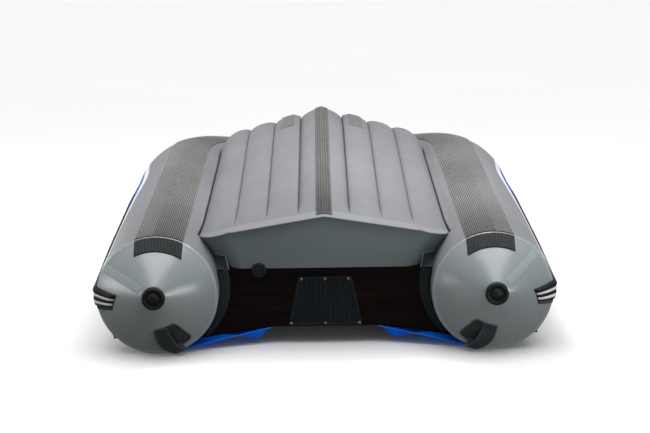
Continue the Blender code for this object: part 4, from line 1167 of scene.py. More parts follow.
def make_bottom(sizes):
    """The inflatable bottom: lobed skin towards the keel, sole towards the inside, and its seams."""
    runs = [STERN_EDGE + d for d in STERN_ROWS] + tube_runs(STERN_EDGE + 0.09, HALF_RUN, 0.018)
    rows = [bottom_ring(run) for run in runs]
    shape = Shape().grid(rows, around=True)
    total = len(rows[0])
    half = (total + 2) // 2
    for j in range(len(half_samples(1.0)) - 1):
        corners = (j, j + 1, half - 2 - j, half - 1 - j)
        for face in (corners, tuple((total - k) % total for k in corners[::-1])):
            shape.face(face, tuple((rows[0][k].x, rows[0][k].z) for k in face))
    shape.made(
        "bottom_skin", "bottom_fabric", stands_for=("inflatable_bottom",), slot="bottom_fabric", sharp=55
    )
    make_hem(sizes)
    make_crease_tapes(sizes)


def hem_ring(x, overhang, sink, sizes):
    """Points round the hem at one distance across, over it from its loose edge and back under it."""
    thick = sizes.tape_thickness * 1.6
    edge = skin_point(BottomLine(STERN_EDGE), STERN_EDGE + 0.008, x)
    row = []
    for back in (overhang, overhang - 0.001, 0.0):
        row.append(Vector((x, edge.y - 0.008 - back, edge.z + thick + sink - back * 0.12)))
    for ahead in spread(0.012, sizes.hem_width, 0.012):
        spot = skin_point(BottomLine(STERN_EDGE + ahead), STERN_EDGE + ahead, x)
        row.append(Vector((x, spot.y, spot.z + thick + sink)))
    row.append(Vector((x, row[-1].y + 0.0015, row[-1].z - thick)))
    return row + [Vector((p.x, p.y, p.z - thick - 0.0012)) for p in row[::-1]]


def make_hem(sizes):
    """A flat hem along the stern edge of the skin, which stands out over the stern panel."""
    inner = HEM_REACH - 0.004
    stretches = [(-HEM_REACH, HEM_REACH, HEM_OVERHANG, 0.0)]
    stretches += [(low, high, 0.001, -0.0006) for low, high in ((inner, HEM_END), (-HEM_END, -inner))]
    hem = Shape()
    for low, high, overhang, sink in stretches:
        hem.closed([hem_ring(x, overhang, sink, sizes) for x in spread(low, high, 0.012)])
    hem.made("stern_hem", "hem_fabric", slot="bottom_fabric")


def make_crease_tapes(sizes):
    """Tapes over the joint of the bottom and the tubes, and the gathered welt between them, in black rubber
    as painted shade in the crease.
    """
    tapes = Shape()
    thick, reach = sizes.tape_thickness, sizes.tape_width / TUBE_RADIUS

    tape = ((1.0, 0.0), (0.94, thick), (0.6, thick), (0.3, thick), (0.12, thick), (-0.1, -0.002))

    def welt(run):
        pleat = PLEAT_DEPTH * (0.5 + 0.5 * math.sin(run * 2 * math.pi / PLEAT_PITCH)) + 0.0008
        top = thick + pleat
        return ((0.4, 0.0), (0.36, top), (0.18, thick + 0.0014 + pleat), (0.02, top), (-0.04, -0.002))

    for _, side in SIDES:
        # The welt takes the black rubber finish: painted shade along the crease between the bottom and the
        # tube.
        for finish, start, step in ((0, 0.02, 0.02), (1, 0.01, 0.004)):
            rows = []
            for run in tube_runs(STERN_EDGE + start, HALF_RUN - 0.02, step):
                line = BottomLine(run)
                section = welt(run) if finish else tape
                row = [line.station.point(line.angle + reach * s, lift) for s, lift in section]
                rows.append([Vector((p.x * side, p.y + CORNER_SWEEP * line.corner, p.z)) for p in row])
            tapes.closed(rows, finish)
    tapes.made("crease_tapes", "tube_fabric", "black_rubber", slot="tube_fabric")


def beside_tube(spot, gap):
    """The spot itself, or pushed out to a gap over the skin of the tube beside it."""
    tube = Vector((math.copysign(HALF_SPACING, spot.x), spot.y, 0))
    away = spot - tube
    return spot if away.length >= TUBE_RADIUS + gap else tube + away.normalized() * (TUBE_RADIUS + gap)


def panel_point(x, share, lift=0.0):
    """A point over the stern panel, from its edge under the hem down to the sole. It closes on the tubes."""
    line = BottomLine(STERN_EDGE)
    spot = skin_point(line, STERN_EDGE, x).lerp(foot_point(line, STERN_EDGE, x), 0.01 + 0.99 * share)
    inner = max(0.0, 1 - (x / line.width) ** 2)
    spot.y -= (0.003 + 0.007 * math.sin(math.pi * share)) * inner + 0.0005 + lift
    return beside_tube(spot, 0.0012 + lift)


def tab_point(side, out, down, width):
    """A point on a corner tab, between the panel's lower corner and the board's foot."""
    top = panel_point(side * (TAB_INNER + (width - TAB_INNER) * out), TAB_TOP, 0.0016)
    foot_x = side * (TAB_FOOT + (TRANSOM_FOOT_REACH - TAB_FOOT) * out)
    foot = Vector((foot_x, TRANSOM_AFT - HOLDER_WALL - 0.001, SOLE_HEIGHT - 0.003))
    return beside_tube(top.lerp(foot, down), 0.0008)


def make_stern_panel():
    """The dark panel under the V edge, with the tabs from its lower corners down to the board."""
    width = BottomLine(STERN_EDGE).width
    samples = half_samples(width)
    xs = [-x for x in samples[:0:-1]] + samples
    rows = [[panel_point(x, share) for x in xs] for share in spread(0, 1, 0.05)]
    rows.append([p + Vector((0, 0.006, -0.001)) for p in rows[-1]])
    Shape().grid(rows).made(
        "stern_panel_fabric", "panel_fabric", stands_for=("stern_panel",), slot="panel_fabric", sharp=60
    )
    tabs = Shape()
    for side in (-1, 1):
        shares = spread(0, 1, 0.08)
        rows = [[tab_point(side, out, down, width) for out in shares] for down in shares]
        tabs.grid(rows)
        tabs.pipe([row[0] for row in rows], 0.0013, 8, finish=1)
        tabs.pipe(rows[0], 0.0009, 8, finish=1)
    tabs.made("panel_tabs", "tab_rubber", "tape_fabric", slot="panel_fabric")


def on_skin_row(run, pairs, middle=0.0):
    line = BottomLine(run)
    return [skin_point(line, run, middle + d, lift) for d, lift in pairs]


def make_bottom_guards(sizes):
    """The ribbed keel strip with its short end patch, and the two short strips on the lobes."""
    half = KEEL_STRIP_HALF
    section = ribbed(-half, half, 2 * half / sizes.keel_ribs, KEEL_RIBS)
    runs = tube_runs(STERN_EDGE + 0.048, HALF_RUN - 0.06, 0.02)
    rows = [on_skin_row(run, section) for run in runs if BottomLine(run).width > 0.08]
    Shape().closed(rows).made(
        "keel_ribs", "keel_rubber", stands_for=("keel_guard",), slot="strip_rubber", sharp=30
    )
    end_rows = []
    for ahead, share in ((0.008, 0.5), (0.03, 0.55), (0.05, 0.55)):
        end_rows.append(on_skin_row(STERN_EDGE + ahead, [(d, h * share + 0.0016) for d, h in section]))
    Shape().closed(end_rows).made("keel_end_patch", "flange_rubber", slot="strip_rubber", sharp=30)
    lobe = (LOBE_SEAMS[0] + LOBE_SEAMS[1]) / 2
    strip = ribbed(-LOBE_STRIP_HALF, LOBE_STRIP_HALF, LOBE_STRIP_HALF / 4, LOBE_RIBS)
    for name, side in SIDES:
        rows = [on_skin_row(run, strip, -side * lobe) for run in tube_runs(*LOBE_STRIP, 0.02)]
        Shape().closed(rows).made(
            f"lobe_ribs_{name}", "lobe_rubber",
            stands_for=(f"lobe_guard_{name}",), slot="strip_rubber", sharp=30,
        )


def make_tube_guards(sizes):
    """Ribbed guards along the keel side of the tubes, and the darker ribbed pads on the cones."""
    low, high = GUARD_INNER * TUBE_RADIUS, GUARD_OUTER * TUBE_RADIUS
    guard = ribbed(low, high, sizes.guard_pitch, GUARD_RIBS)
    # The crowns take paler finishes, as painted highlights.
    crowns = crowns_of(guard, GUARD_RIBS, low + (high - low) * GUARD_HIGHLIT)
    pad = ribbed(low, high, sizes.pad_pitch, PAD_RIBS)
    section = [(d / TUBE_RADIUS, lift) for d, lift in guard]
    for name, side in SIDES:
        Shape().band(tube_runs(0.006, GUARD_END), lambda run: section, side, finish=crowns).made(
            f"tube_ribs_{name}", "guard_rubber", "guard_worn", "guard_crown",
            stands_for=(f"tube_guard_{name}",), slot="strip_rubber", sharp=30,
        )
        rows = cone_rows(spread(0.035, PAD_REACH, 0.03), pad, side)
        Shape().closed(rows, crowns_of(pad, PAD_RIBS)).made(
            f"cone_ribs_{name}", "pad_rubber", "pad_crown",
            stands_for=(f"cone_pad_{name}",), slot="pad_rubber", sharp=30,
        )


def strake_point(run, turn, height, end):
    """A point over the strake. Its lower beads end earlier on the cone, and its ends are rounded."""
    rounding = 0.25 + 0.75 * math.sqrt(min(1.0, max(0.0, (run - end) / STRAKE_NOSE)))
    at = run * (1 - STRAKE_CUT * turn / STRAKE_FACE[-1][0]) if run < 0 else run
    drift = STRAKE_DRIFT * max(0.0, -at) / CONE_LENGTH
    angle = STRAKE_TOP - strake_rise(at) + math.radians(turn) + drift
    return hull_point(at, angle, EDGE_LIFT + (height - EDGE_LIFT) * rounding)


def make_strake():
    """Rubbing strake from one cone round the bow to the other: black beads with two white lines."""
    end = -CONE_LENGTH * STRAKE_REACH
    runs = [end + d for d in (0.0, 0.0006, 0.002, 0.005, STRAKE_NOSE)]
    runs += spread(end + 0.014, -0.024, 0.006) + spread(-0.02, 0.02, 0.0025) + tube_runs(0.03, HALF_RUN)
    rows = [[strake_point(run, turn, height, end) for turn, height, _ in STRAKE_FACE] for run in runs]
    Shape().closed(stern_to_stern(rows), [colour for _, _, colour in STRAKE_FACE]).made(
        "strake", "black_rubber", "white_rubber", "flange_rubber",
        stands_for=("rub_strake",), slot="strake_rubber", sharp=50,
    )


def wing_height(x):
    reach = (x - TRANSOM_FLAT) / (WING_REACH - TRANSOM_FLAT)
    return TRANSOM_TOP - WING_DROP * max(0.0, reach)


def transom_outline():
    """Outline of the board: level top edge, drooping corners, edges round the tubes, level foot."""
    lift = HOLDER_WALL + 0.0012
    radius = TUBE_RADIUS + lift
    start = -math.pi + math.asin((HALF_SPACING - TRANSOM_CORNER) / radius)
    half = [(-TRANSOM_FLAT, TRANSOM_TOP), (-TRANSOM_CORNER, wing_height(TRANSOM_CORNER) + 0.0006)]
    for angle in spread(start, -math.acos(SOLE_HEIGHT / radius), ARC_STEP):
        p = tube_station(0).point(angle, lift)
        half.append((p.x, p.z))
    return half + [(-x, z) for x, z in half[::-1]]


def slab(outline, aft, ahead):
    """A flat board standing across the boat, from its outline of X and Z pairs."""
    return Shape().closed([[Vector((x, y, z)) for x, z in outline] for y in (aft, ahead)])


def round_edges(piece, width, segments=3, angle=40):
    edge = piece.modifiers.new("rounded edges", "BEVEL")
    edge.width = width
    edge.segments = segments
    edge.limit_method = "ANGLE"
    edge.angle_limit = math.radians(angle)


def rounded_outline(corners, radius, steps=5):
    """An outline whose corners are turned with the given radius."""
    found = []
    for i, corner in enumerate(corners):
        corner = Vector(corner)
        before = (Vector(corners[i - 1]) - corner).normalized()
        after = (Vector(corners[(i + 1) % len(corners)]) - corner).normalized()
        start, end = corner + before * radius, corner + after * radius
        for share in spread(0, 1, count=steps):
            found.append(tuple(start.lerp(corner, share).lerp(corner.lerp(end, share), share)))
    return found


def plate_half(z):
    (top, top_z), (low, low_z) = PLATE
    return top + (low - top) * (top_z - z) / (top_z - low_z)


def plate_corners(inset=0.0):
    """Corners of the outer motor plate, drawn in by an inset."""
    (_, top_z), (_, low_z) = PLATE
    top, low = plate_half(top_z) - inset, plate_half(low_z) - inset
    return [(-top, top_z - inset), (top, top_z - inset), (low, low_z + inset), (-low, low_z + inset)]


def add_plate_border(plate, back):
    """The raised border of the motor plate."""
    edges = ((0.0, 0.003), (0.0, 0.0058), (0.0012, 0.0064), (PLATE_BORDER - 0.0015, 0.0064),
             (PLATE_BORDER, 0.0055), (PLATE_BORDER, 0.003))
    rows = []
    for inset, depth in edges:
        ring = rounded_outline(plate_corners(inset), max(0.002, PLATE_CORNER - inset * 0.5))
        rows.append([Vector((x, back - depth, z)) for x, z in ring])
    plate.grid(rows, around=True)


def add_plate_bars(plate, back):
    """Upright ribs with rounded tops on the motor plate, cut off at its slanting sides."""
    (top, top_z), (low, low_z) = PLATE
    half, root, face = 0.0026, back - 0.003, back - 0.0062
    profile = ((-half, root), (-half * 0.8, face + 0.0006), (-half * 0.4, face), (half * 0.4, face),
               (half * 0.8, face + 0.0006), (half, root))
    for k in range(-7, 8):
        x = k * PLATE_BAR_PITCH
        high = top_z - PLATE_BORDER
        if abs(x) > plate_half(high) - PLATE_BORDER:
            high = top_z - (abs(x) + PLATE_BORDER - top) / (low - top) * (top_z - low_z)
        if high - low_z > PLATE_BORDER + 0.02:
            ends = (low_z + PLATE_BORDER - 0.001, high)
            plate.closed([[Vector((x + d, y, z)) for d, y in profile] for z in ends])


def add_plate_rungs(plate, back):
    """Level ribs with rounded tops across the motor plate."""
    low_z, height = PLATE[1][1] + PLATE_BORDER, PLATE[0][1] - PLATE[1][1] - 2 * PLATE_BORDER
    half, root, face = 0.0011, back - 0.003, back - 0.005
    profile = ((-half, root), (-half * 0.5, face), (half * 0.5, face), (half, root))
    for i in range(1, round(height / PLATE_RUNG_PITCH)):
        z = low_z + i * PLATE_RUNG_PITCH
        reach = plate_half(z) - PLATE_BORDER
        plate.closed([[Vector((x, y, z + d)) for d, y in profile] for x in (-reach, reach)])


def make_transom():
    """The board, with the ribbed outer motor plate, its screws, and the plain inner plate."""
    board = slab(transom_outline(), TRANSOM_AFT, TRANSOM_AFT + TRANSOM_THICK).made(
        "board_varnished", "board", stands_for=("transom_board",), slot="transom_panel"
    )
    round_edges(board, 0.003)
    back = TRANSOM_AFT - 0.0003
    plate = slab(rounded_outline(plate_corners(), PLATE_CORNER), back - 0.0035, back)
    add_plate_border(plate, back)
    add_plate_bars(plate, back)
    add_plate_rungs(plate, back)
    plate.made(
        "motor_plate_ribbed", "plate_plastic", stands_for=("motor_plate_outer",), slot="plate_plastic"
    )
    make_screws(back - 0.0064)
    half, top_z, low_z = INNER_PLATE_HALF, INNER_PLATE_TOP, PLATE[1][1]
    corners = [(-half, top_z), (half, top_z), (half, low_z), (-half, low_z)]
    front = TRANSOM_AFT + TRANSOM_THICK + 0.0003
    slab(rounded_outline(corners, PLATE_CORNER), front, front + 0.008).made(
        "motor_plate_plain", "plate_plastic", stands_for=("motor_plate_inner",), slot="plate_plastic"
    )


def make_screws(face):
    """Six cross-head screws in the border of the motor plate."""
    screws = Shape()
    slot = ((-0.0007, 0.002), (-0.0007, 0.0031), (0.0007, 0.0031), (0.0007, 0.002))
    places = [(k * (half - 0.012), edge + inset)
              for (half, edge), inset in zip(PLATE, (-SCREW_INSET, SCREW_INSET)) for k in (-1, 0, 1)]
    for x, z in places:
        screws.turned(SCREW_HEAD, (x, face, z), AFT, 24)
        for turn in (math.radians(25), math.radians(115)):
            c, s = math.cos(turn), math.sin(turn)
            screws.closed([
                [Vector((x + u * c - v * s, face - y, z + u * s + v * c)) for v, y in slot]
                for u in (-0.0036, 0.0036)
            ], 1)
    screws.made("plate_screws", "brass", "black_rubber", slot="plate_plastic")


def holder_section():
    """Pairs of distance along the tube and height over its skin, round a strip that grips the board."""
    aft, leg, wall, flange = TRANSOM_AFT, HOLDER_LEG, HOLDER_WALL, HOLDER_FLANGE
    left = [
        (aft - leg, 0.0), (aft - leg + 0.001, 0.0012), (aft - leg * 0.5, 0.0024),
        (aft - wall - 0.01, 0.004), (aft - wall - 0.0035, 0.0075), (aft - wall - 0.0006, 0.014),
        (aft - wall, flange - 0.002), (aft - wall + 0.0015, flange), (aft - 0.0006, flange - 0.0008),
        (aft - 0.0002, wall),
    ]
    return left + [(2 * aft + TRANSOM_THICK - run, lift) for run, lift in left[::-1]]


def make_transom_holders():
    """Rubber strips that grip the board's edges and lie on the tubes, with a pale line of cement."""
    end = -math.acos((SOLE_HEIGHT - 0.006) / TUBE_RADIUS) - math.radians(1.5)
    angles = spread(HOLDER_START, end, ARC_STEP)
    edges = (TRANSOM_AFT - HOLDER_LEG - CEMENT_WIDTH, TRANSOM_AFT + TRANSOM_THICK + HOLDER_LEG)

    def swept(section, side):
        return [[hull_point(run, angle, lift, side) for run, lift in section] for angle in angles]

    for name, side in SIDES:
        Shape().closed(swept(holder_section(), side)).made(
            f"board_holder_{name}", "holder_rubber",
            stands_for=(f"transom_holder_{name}",), slot="black_rubber",
        )
        cement = Shape()
        for edge in edges:
            cement.closed(swept([(edge + d, lift) for d, lift in CEMENT], side))
        cement.made(f"cement_line_{name}", "tape_fabric", slot="black_rubber")


def wing_point(share, along, side):
    """A point on a wing: share runs from the board out to the tube, along from aft to ahead."""
    start = TRANSOM_FLAT + 0.004
    x = start + (WING_REACH - start) * share
    back = TRANSOM_AFT - 0.004 - 0.112 * share**1.1
    front = TRANSOM_AFT + TRANSOM_THICK + 0.01 + 0.16 * share
    loose = eased(share / 0.14) * (1 - eased((share - 0.14) / 0.36))
    hang = math.sin(min(1.0, along / 0.42) * math.pi / 2) * (1 - eased((along - 0.42) / 0.58))
    height = wing_height(x) + EDGE_LIFT - WING_SAG * loose * hang
    return Vector((-side * x, back + (front - back) * along, height))


def make_wings():
    """Blue fabric from the board's corners out onto the tubes, loose beside the board, with a piped edge."""
    shares = spread(0, 1, 0.02)
    for name, side in SIDES:
        rows = []
        for share in shares:
            row = [wing_point(share, along, side) for along in spread(0, 1, 0.03)]
            rows.append(row + [p - Vector((0, 0, WING_THICK)) for p in row[::-1]])
        wing = Shape().closed(rows)
        for along in (0.0, 1.0):
            middle = Vector((0, 0, -WING_THICK / 2))
            wing.pipe([wing_point(share, along, side) + middle for share in shares], 0.0019, 10)
        piece = wing.made(
            f"wing_fabric_{name}", "blue_fabric", stands_for=(f"transom_wing_{name}",), slot="blue_fabric"
        )


def make_drain():
    """The drain valve in the transom: a flanged ring round a six-sided plug, on a stem."""
    place = Vector(DRAIN_PLACE)
    drain = Shape().turned(DRAIN_RING, place, AFT, 48)
    drain.turned(DRAIN_PLUG, place, AFT, 6)
    drain.turned(((0.012, 0.003), (0.012, -0.0105)), place - Vector((0, 0, 0.012)), AFT, 28)
    drain.made("drain_plug", "holder_rubber", stands_for=("drain_valve",), slot="black_rubber", sharp=30)


def on_hull(run, angle, side=1):
    """Turns local metres on the hull's skin round one spot into points: along, across and height."""

    def place(along, across, lift):
        at = run + along
        radius = tube_station(at).radius if at >= 0 else cone_ring(-at / CONE_LENGTH)[1]
        return hull_point(at, angle + across / radius, lift, side)

    return place


def on_cone(share, angle, side, turn):
    """Local metres on the cone round one spot: down the slope, round the cone, and height."""
    radius = cone_ring(share)[1]
    c, s = math.cos(turn), math.sin(turn)

    def place(along, across, lift):
        down, round_cone = along * c - across * s, along * s + across * c
        spot, _, normal = cone_normal(max(-0.02, share - down / CONE_SLANT), angle + round_cone / radius)
        return mirrored(spot + normal * lift, side)

    return place


def smooth_path(points, steps=6):
    """A curve through points of any number of parts, as evenly cut stretches."""
    found = []
    for i in range(len(points) - 1):
        near = [points[max(0, min(len(points) - 1, i + k))] for k in (-1, 0, 1, 2)]
        for t in spread(0, 1, count=steps)[:-1]:
            found.append(tuple(0.5 * (
                2 * b + (c - a) * t + (2 * a - 5 * b + 4 * c - d) * t**2 + (3 * b - a - 3 * c + d) * t**3
            ) for a, b, c, d in zip(*near)))
    return found + [tuple(points[-1])]


def make_lugs():
    """Moulded towing lugs low on the cones: a rimmed pad with a wide strap that stands off its lower end."""
    loop = smooth_path(LUG_LOOP)
    for name, side in SIDES:
        place = on_cone(*LUG_PLACE, side, LUG_TURN)

        def slanted(down, across, lift):
            slant = LUG_SLANT * (down + LUG_HALF_LONG) * max(0.0, -across / LUG_HALF_WIDE)
            return place(down, across + slant, lift)

        lug = Shape().patch(slanted, LUG_HALF_LONG, LUG_HALF_WIDE, LUG_RIM, power=6.0, steps=80)
        rows = []
        for i, (down, height, lean, half) in enumerate(loop):
            before, after = loop[max(0, i - 1)], loop[min(len(loop) - 1, i + 1)]
            slope = Vector((after[0] - before[0], after[1] - before[1])).normalized() * LUG_STRAP_THICK
            rows.append([
                place(down - slope.y * out, across * half + lean, height + slope.x * out)
                for across, out in LUG_STRAP
            ])
        lug.closed(rows)
        lug.made(f"towing_lug_{name}", "lug_rubber", stands_for=(f"stern_lug_{name}",), slot="black_rubber")


def arch(foot_a, foot_b, rise, steps=28, power=0.45):
    """A path that stands up steeply from one foot and comes down to the other."""
    return [foot_a.lerp(foot_b, s) + rise * math.sin(math.pi * s) ** power for s in spread(0, 1, count=steps)]


def grip(shape, path, radius):
    """A round grip with shallow finger rings, thicker towards its feet."""
    radii = []
    for share in spread(0, 1, count=len(path) - 1):
        foot = 1 + 0.35 * max(0.0, 1 - min(share, 1 - share) / 0.1)
        radii.append(radius * foot * (1 + 0.035 * math.cos(share * 2 * math.pi * 12)))
    return shape.pipe(path, radii, 20, flat=0.86)


def make_side_handle(name, side):
    """A long patch with a grip that stands up from two round bosses."""
    handle = Shape().patch(on_hull(HANDLE_RUN, HANDLE_ANGLE, side), *HANDLE_PATCH, PATCH, power=5.0)
    feet = [hull_point(run, HANDLE_ANGLE, HANDLE_RADIUS, side) for run in HANDLE_FEET]
    rise = hull_outward(HANDLE_RUN, HANDLE_ANGLE, side) * HANDLE_RISE
    grip(handle, arch(*feet, rise), HANDLE_RADIUS)
    for run in HANDLE_FEET:
        handle.patch(on_hull(run, HANDLE_ANGLE, side), 0.022, 0.017, HANDLE_BOSS)
    handle.made(
        f"carry_handle_{name}", "black_rubber", stands_for=(f"side_handle_{name}",), slot="black_rubber"
    )


def make_bow_handle():
    """The patch and grip that lie across the bow's middle."""
    radius = tube_station(HALF_RUN).radius

    def place(along, across, lift):
        angle = BOW_HANDLE_ANGLE + across / radius
        return hull_point(HALF_RUN - abs(along), angle, lift, 1 if along <= 0 else -1)

    handle = Shape().patch(place, *BOW_HANDLE_PATCH, PATCH, power=5, steps=72)
    foot = HALF_RUN - BOW_HANDLE_FOOT
    feet = [hull_point(foot, BOW_HANDLE_ANGLE, BOW_HANDLE_RADIUS, side) for side in (1, -1)]
    rise = hull_outward(HALF_RUN, BOW_HANDLE_ANGLE) * BOW_HANDLE_RISE
    grip(handle, arch(*feet, rise), BOW_HANDLE_RADIUS)
    handle.made("bow_grip", "black_rubber", stands_for=("bow_handle",), slot="black_rubber")


def add_ring_strap(ring, place):
    """A flat strap over the towing ring, which lies down at both feet and arches between them."""
    half_long, half_wide, rise, thick, feet = 0.035, 0.012, 0.005, 0.003, 0.3
    rows = []
    for share in spread(-1, 1, 0.05):
        inside = max(0.0, 1 - (abs(share) / (1 - feet)) ** 2.4) if abs(share) < 1 - feet else 0.0
        height = 0.0022 + rise * inside**0.7
        half = half_wide * (1 + 0.16 * abs(share) ** 3)
        section = ((-1, 0), (-0.96, 0.8), (-0.5, 1), (0, 1.08), (0.5, 1), (0.96, 0.8), (1, 0), (0, -0.05))
        rows.append([place(share * half_long, d * half, height + h * thick) for d, h in section])
    ring.closed(rows)


def make_towing_ring(name, side):
    """A round patch with a ring that a flat strap holds down."""
    low, high = boat_box(f"towing_ring_{name}")
    run = run_at(abs(low.x + high.x) / 2)
    place = on_hull(run, RING_ANGLE, side)
    ring = Shape().patch(place, *RING_PATCH, PATCH, power=3.0)
    feet = [hull_point(run, RING_ANGLE + math.radians(k), 0.0047, side) for k in (-4, 4)]
    ring.pipe(arch(*feet, hull_outward(run, RING_ANGLE, side) * RING_RISE), RING_RADIUS, 18)
    add_ring_strap(ring, place)
    ring.made(
        f"tow_ring_{name}", "black_rubber", stands_for=(f"towing_ring_{name}",), slot="black_rubber"
    )


def make_handles():
    """Side handles, the bow handle and the towing rings, each a moulded patch with its grip."""
    for name, side in SIDES:
        make_side_handle(name, side)
    make_bow_handle()
    for name, side in SIDES:
        make_towing_ring(name, side)


def run_at(x):
    """The run on the bow whose middle line lies at a distance from the boat's middle plane."""
    low, high = SIDE_LENGTH, HALF_RUN
    for _ in range(40):
        middle = (low + high) / 2
        if abs(tube_station(middle).centre.x) > x:
            low = middle
        else:
            high = middle
    return low


def rope_ring(run, side, radius, sides=18):
    """Points round the rope at one run, bulging where a strand comes to the surface."""
    spot = hull_point(run, ROPE_ANGLE, ROPE_LIFT, side)
    outward = (hull_point(run, ROPE_ANGLE, ROPE_LIFT + 0.01, side) - spot).normalized()
    ahead = (hull_point(run + 0.004, ROPE_ANGLE, ROPE_LIFT, side) - spot).normalized()
    across = ahead.cross(outward)
    row = []
    for angle in circle(sides):
        turn = angle - 2 * math.pi * run / ROPE_LAY / ROPE_STRANDS
        bulge = abs(math.cos(turn * ROPE_STRANDS / 2))
        size = radius * (0.78 + 0.24 * bulge)
        row.append(spot + (outward * math.cos(angle) + across * math.sin(angle)) * size)
    return row


def make_lifelines(sizes):
    """Three-strand ropes along the tubes, each held down by moulded rubber blocks."""
    for name, side in SIDES:
        low, high = boat_box(f"lifeline_{name}")
        end = run_at(abs(high.x if side == 1 else low.x))
        runs = spread(ROPE_START, end - 0.06, 0.0035)
        rope = Shape().closed([rope_ring(run, side, sizes.rope_radius) for run in runs])
        for run in (*ROPE_BLOCKS, end - 0.1):
            place = on_hull(run, ROPE_ANGLE, side)
            rope.patch(place, *ROPE_PATCH, PATCH_EDGE + ((0.75, 0.0024),), power=2.4, finish=1)
            rope.patch(place, *ROPE_BLOCK, ROPE_DOME, power=2.8, finish=1)
        rope.made(
            f"lifeline_rope_{name}", "rope", "black_rubber",
            stands_for=(f"lifeline_{name}",), slot="black_cord",
        )


def make_valves():
    """Air valves on the inboard side of the tubes: a flange, a knurled ring and a cap."""
    low, high = boat_box("air_valve_bow")
    bow_run = max(SIDE_LENGTH, (low.y + high.y) / 2)
    for name, run, side in (("left", VALVE_RUN, 1), ("right", VALVE_RUN, -1), ("bow", bow_run, 1)):
        spot = hull_point(run, VALVE_ANGLE, 0.0004, side)
        direction = hull_point(run, VALVE_ANGLE, 0.02, side) - spot
        valve = Shape().turned(VALVE_PROFILE, spot, direction, 56)
        direction.normalize()
        for spoke in spokes(direction, 24):
            tangent = direction.cross(spoke)
            rows = []
            for height in (0.0045, 0.0084):
                base = spot + spoke * 0.0236 + direction * height
                rows.append([base + tangent * t + spoke * s for t, s in VALVE_KNURL])
            valve.closed(rows)
        valve.made(
            f"valve_body_{name}", "nylon", stands_for=(f"air_valve_{name}",), slot="grey_nylon", sharp=30
        )


def rail_pairs():
    """Pairs of angle and height round the bench rail: a flange on the skin and a bead on a neck."""
    step = math.radians(1)
    bead = []
    for share in spread(1, 0, count=12):
        turn = math.radians(-120 + 240 * share)
        bead.append((RAIL_ANGLE + 2.2 * step * math.sin(turn), 0.0145 + 0.0055 * math.cos(turn)))
    flange = ((7, EDGE_LIFT), (6.8, 0.002), (3, 0.003), (1.3, 0.0036), (1.2, 0.009))
    right = [(RAIL_ANGLE + turn * step, height) for turn, height in flange]
    return right + bead + [(2 * RAIL_ANGLE - angle, height) for angle, height in right[::-1]]


def make_rails():
    """The rails on the tubes that the benches slide along."""
    pairs = rail_pairs()
    for name, side in SIDES:
        low, high = boat_box(f"bench_rail_{name}")
        Shape().band(spread(low.y, high.y, 0.05), lambda run: pairs, side).made(
            f"bench_slide_{name}", "black_rubber", stands_for=(f"bench_rail_{name}",), slot="black_rubber"
        )


def bench_rings(reach, low, high, height):
    """Rings round a bench's board, drawn in towards its faces."""
    half = BENCH_HALF_THICK
    outline = rounded_outline(
        [(-reach, low), (reach, low), (reach, high), (-reach, high)], BENCH_CORNER, 6
    )
    lower = [(0.003, -half), (0.0008, 0.0008 - half), (0.0, 0.003 - half)]
    rows = []
    for inset, z in lower + [(inset, -z) for inset, z in lower[::-1]]:
        rows.append([
            Vector((x - math.copysign(inset, x), y - math.copysign(inset, y - (low + high) / 2), height + z))
            for x, y in outline
        ])
    return rows


def runner_outline():
    """The channel round the left rail's bead, as an open C in the X-Z plane."""
    station = tube_station(0)
    normal = station.outward_at(RAIL_ANGLE)
    along = Vector((normal.z, 0, -normal.x))
    return [station.point(RAIL_ANGLE) + normal * h + along * a for a, h in BENCH_RUNNER]


def make_bench(name):
    """A plywood board with rounded edges, its end runners, and a screw at each corner."""
    low, high = boat_box(f"bench_{name}")
    rail = tube_station(0.5).point(RAIL_ANGLE, 0.026)
    reach = abs(rail.x) - 0.002
    bench = Shape().closed(bench_rings(reach, low.y, high.y, rail.z))
    for _, side in SIDES:
        ends = (low.y + 0.015, high.y - 0.015)
        bench.closed([[Vector((side * p.x, y, p.z)) for p in runner_outline()] for y in ends], 1)
        for y in (low.y + 0.035, high.y - 0.035):
            for way in (-1, 1):
                place = (side * (0.03 - reach), y, rail.z + way * BENCH_HALF_THICK)
                bench.turned(BENCH_SCREW, place, (0, 0, way), 20, finish=1)
    bench.made(
        f"bench_board_{name}", "bench_wood", "nylon", body=f"bench_{name}",
        stands_for=(f"bench_{name}",), slot="bench_wood",
    )


def make_benches():
    """The two benches that slide along the rails."""
    for name in ("rear", "front"):
        make_bench(name)


def collar_section():
    """Pairs of radius and height round the rounded section of the oarlock's collar."""
    section = []
    for turn in spread(0, 2 * math.pi, count=16):
        high = COLLAR_HALF_WIDE * math.copysign(abs(math.sin(turn)) ** 0.5, math.sin(turn))
        section.append((COLLAR_RADIUS + COLLAR_HALF_THICK * math.cos(turn), high))
    return section


def make_oarlocks():
    """Oarlock bases bonded to the tubes, and the swivelling collars that the oars go through."""
    down = (0, 0, -1)
    for name, side in SIDES:
        x = -side * HALF_SPACING
        base = Shape().patch(
            on_hull(OARLOCK_Y, math.pi, side), *OARLOCK_PATCH, PATCH_EDGE + ((0.02, 0.004),), power=2.6
        )
        base.turned(OARLOCK_BASE, (x, OARLOCK_Y, -TUBE_RADIUS), down, 48)
        base.made(
            f"oarlock_seat_{name}", "black_rubber", stands_for=(f"oarlock_base_{name}",), slot="black_rubber"
        )
        start = Vector((x, OARLOCK_Y, -TUBE_RADIUS - OARLOCK_BOSS - 0.0003))
        lock = Shape().turned(OARLOCK_HUB, start, down, 40)
        lock.turned(collar_section(), start - Vector((0, 0, COLLAR_DROP)), (1, 0, 0), 56, closed=False)
        lock.made(
            f"oarlock_collar_{name}", "nylon", body=f"oarlock_{name}",
            stands_for=(f"oarlock_{name}",), slot="grey_nylon",
        )


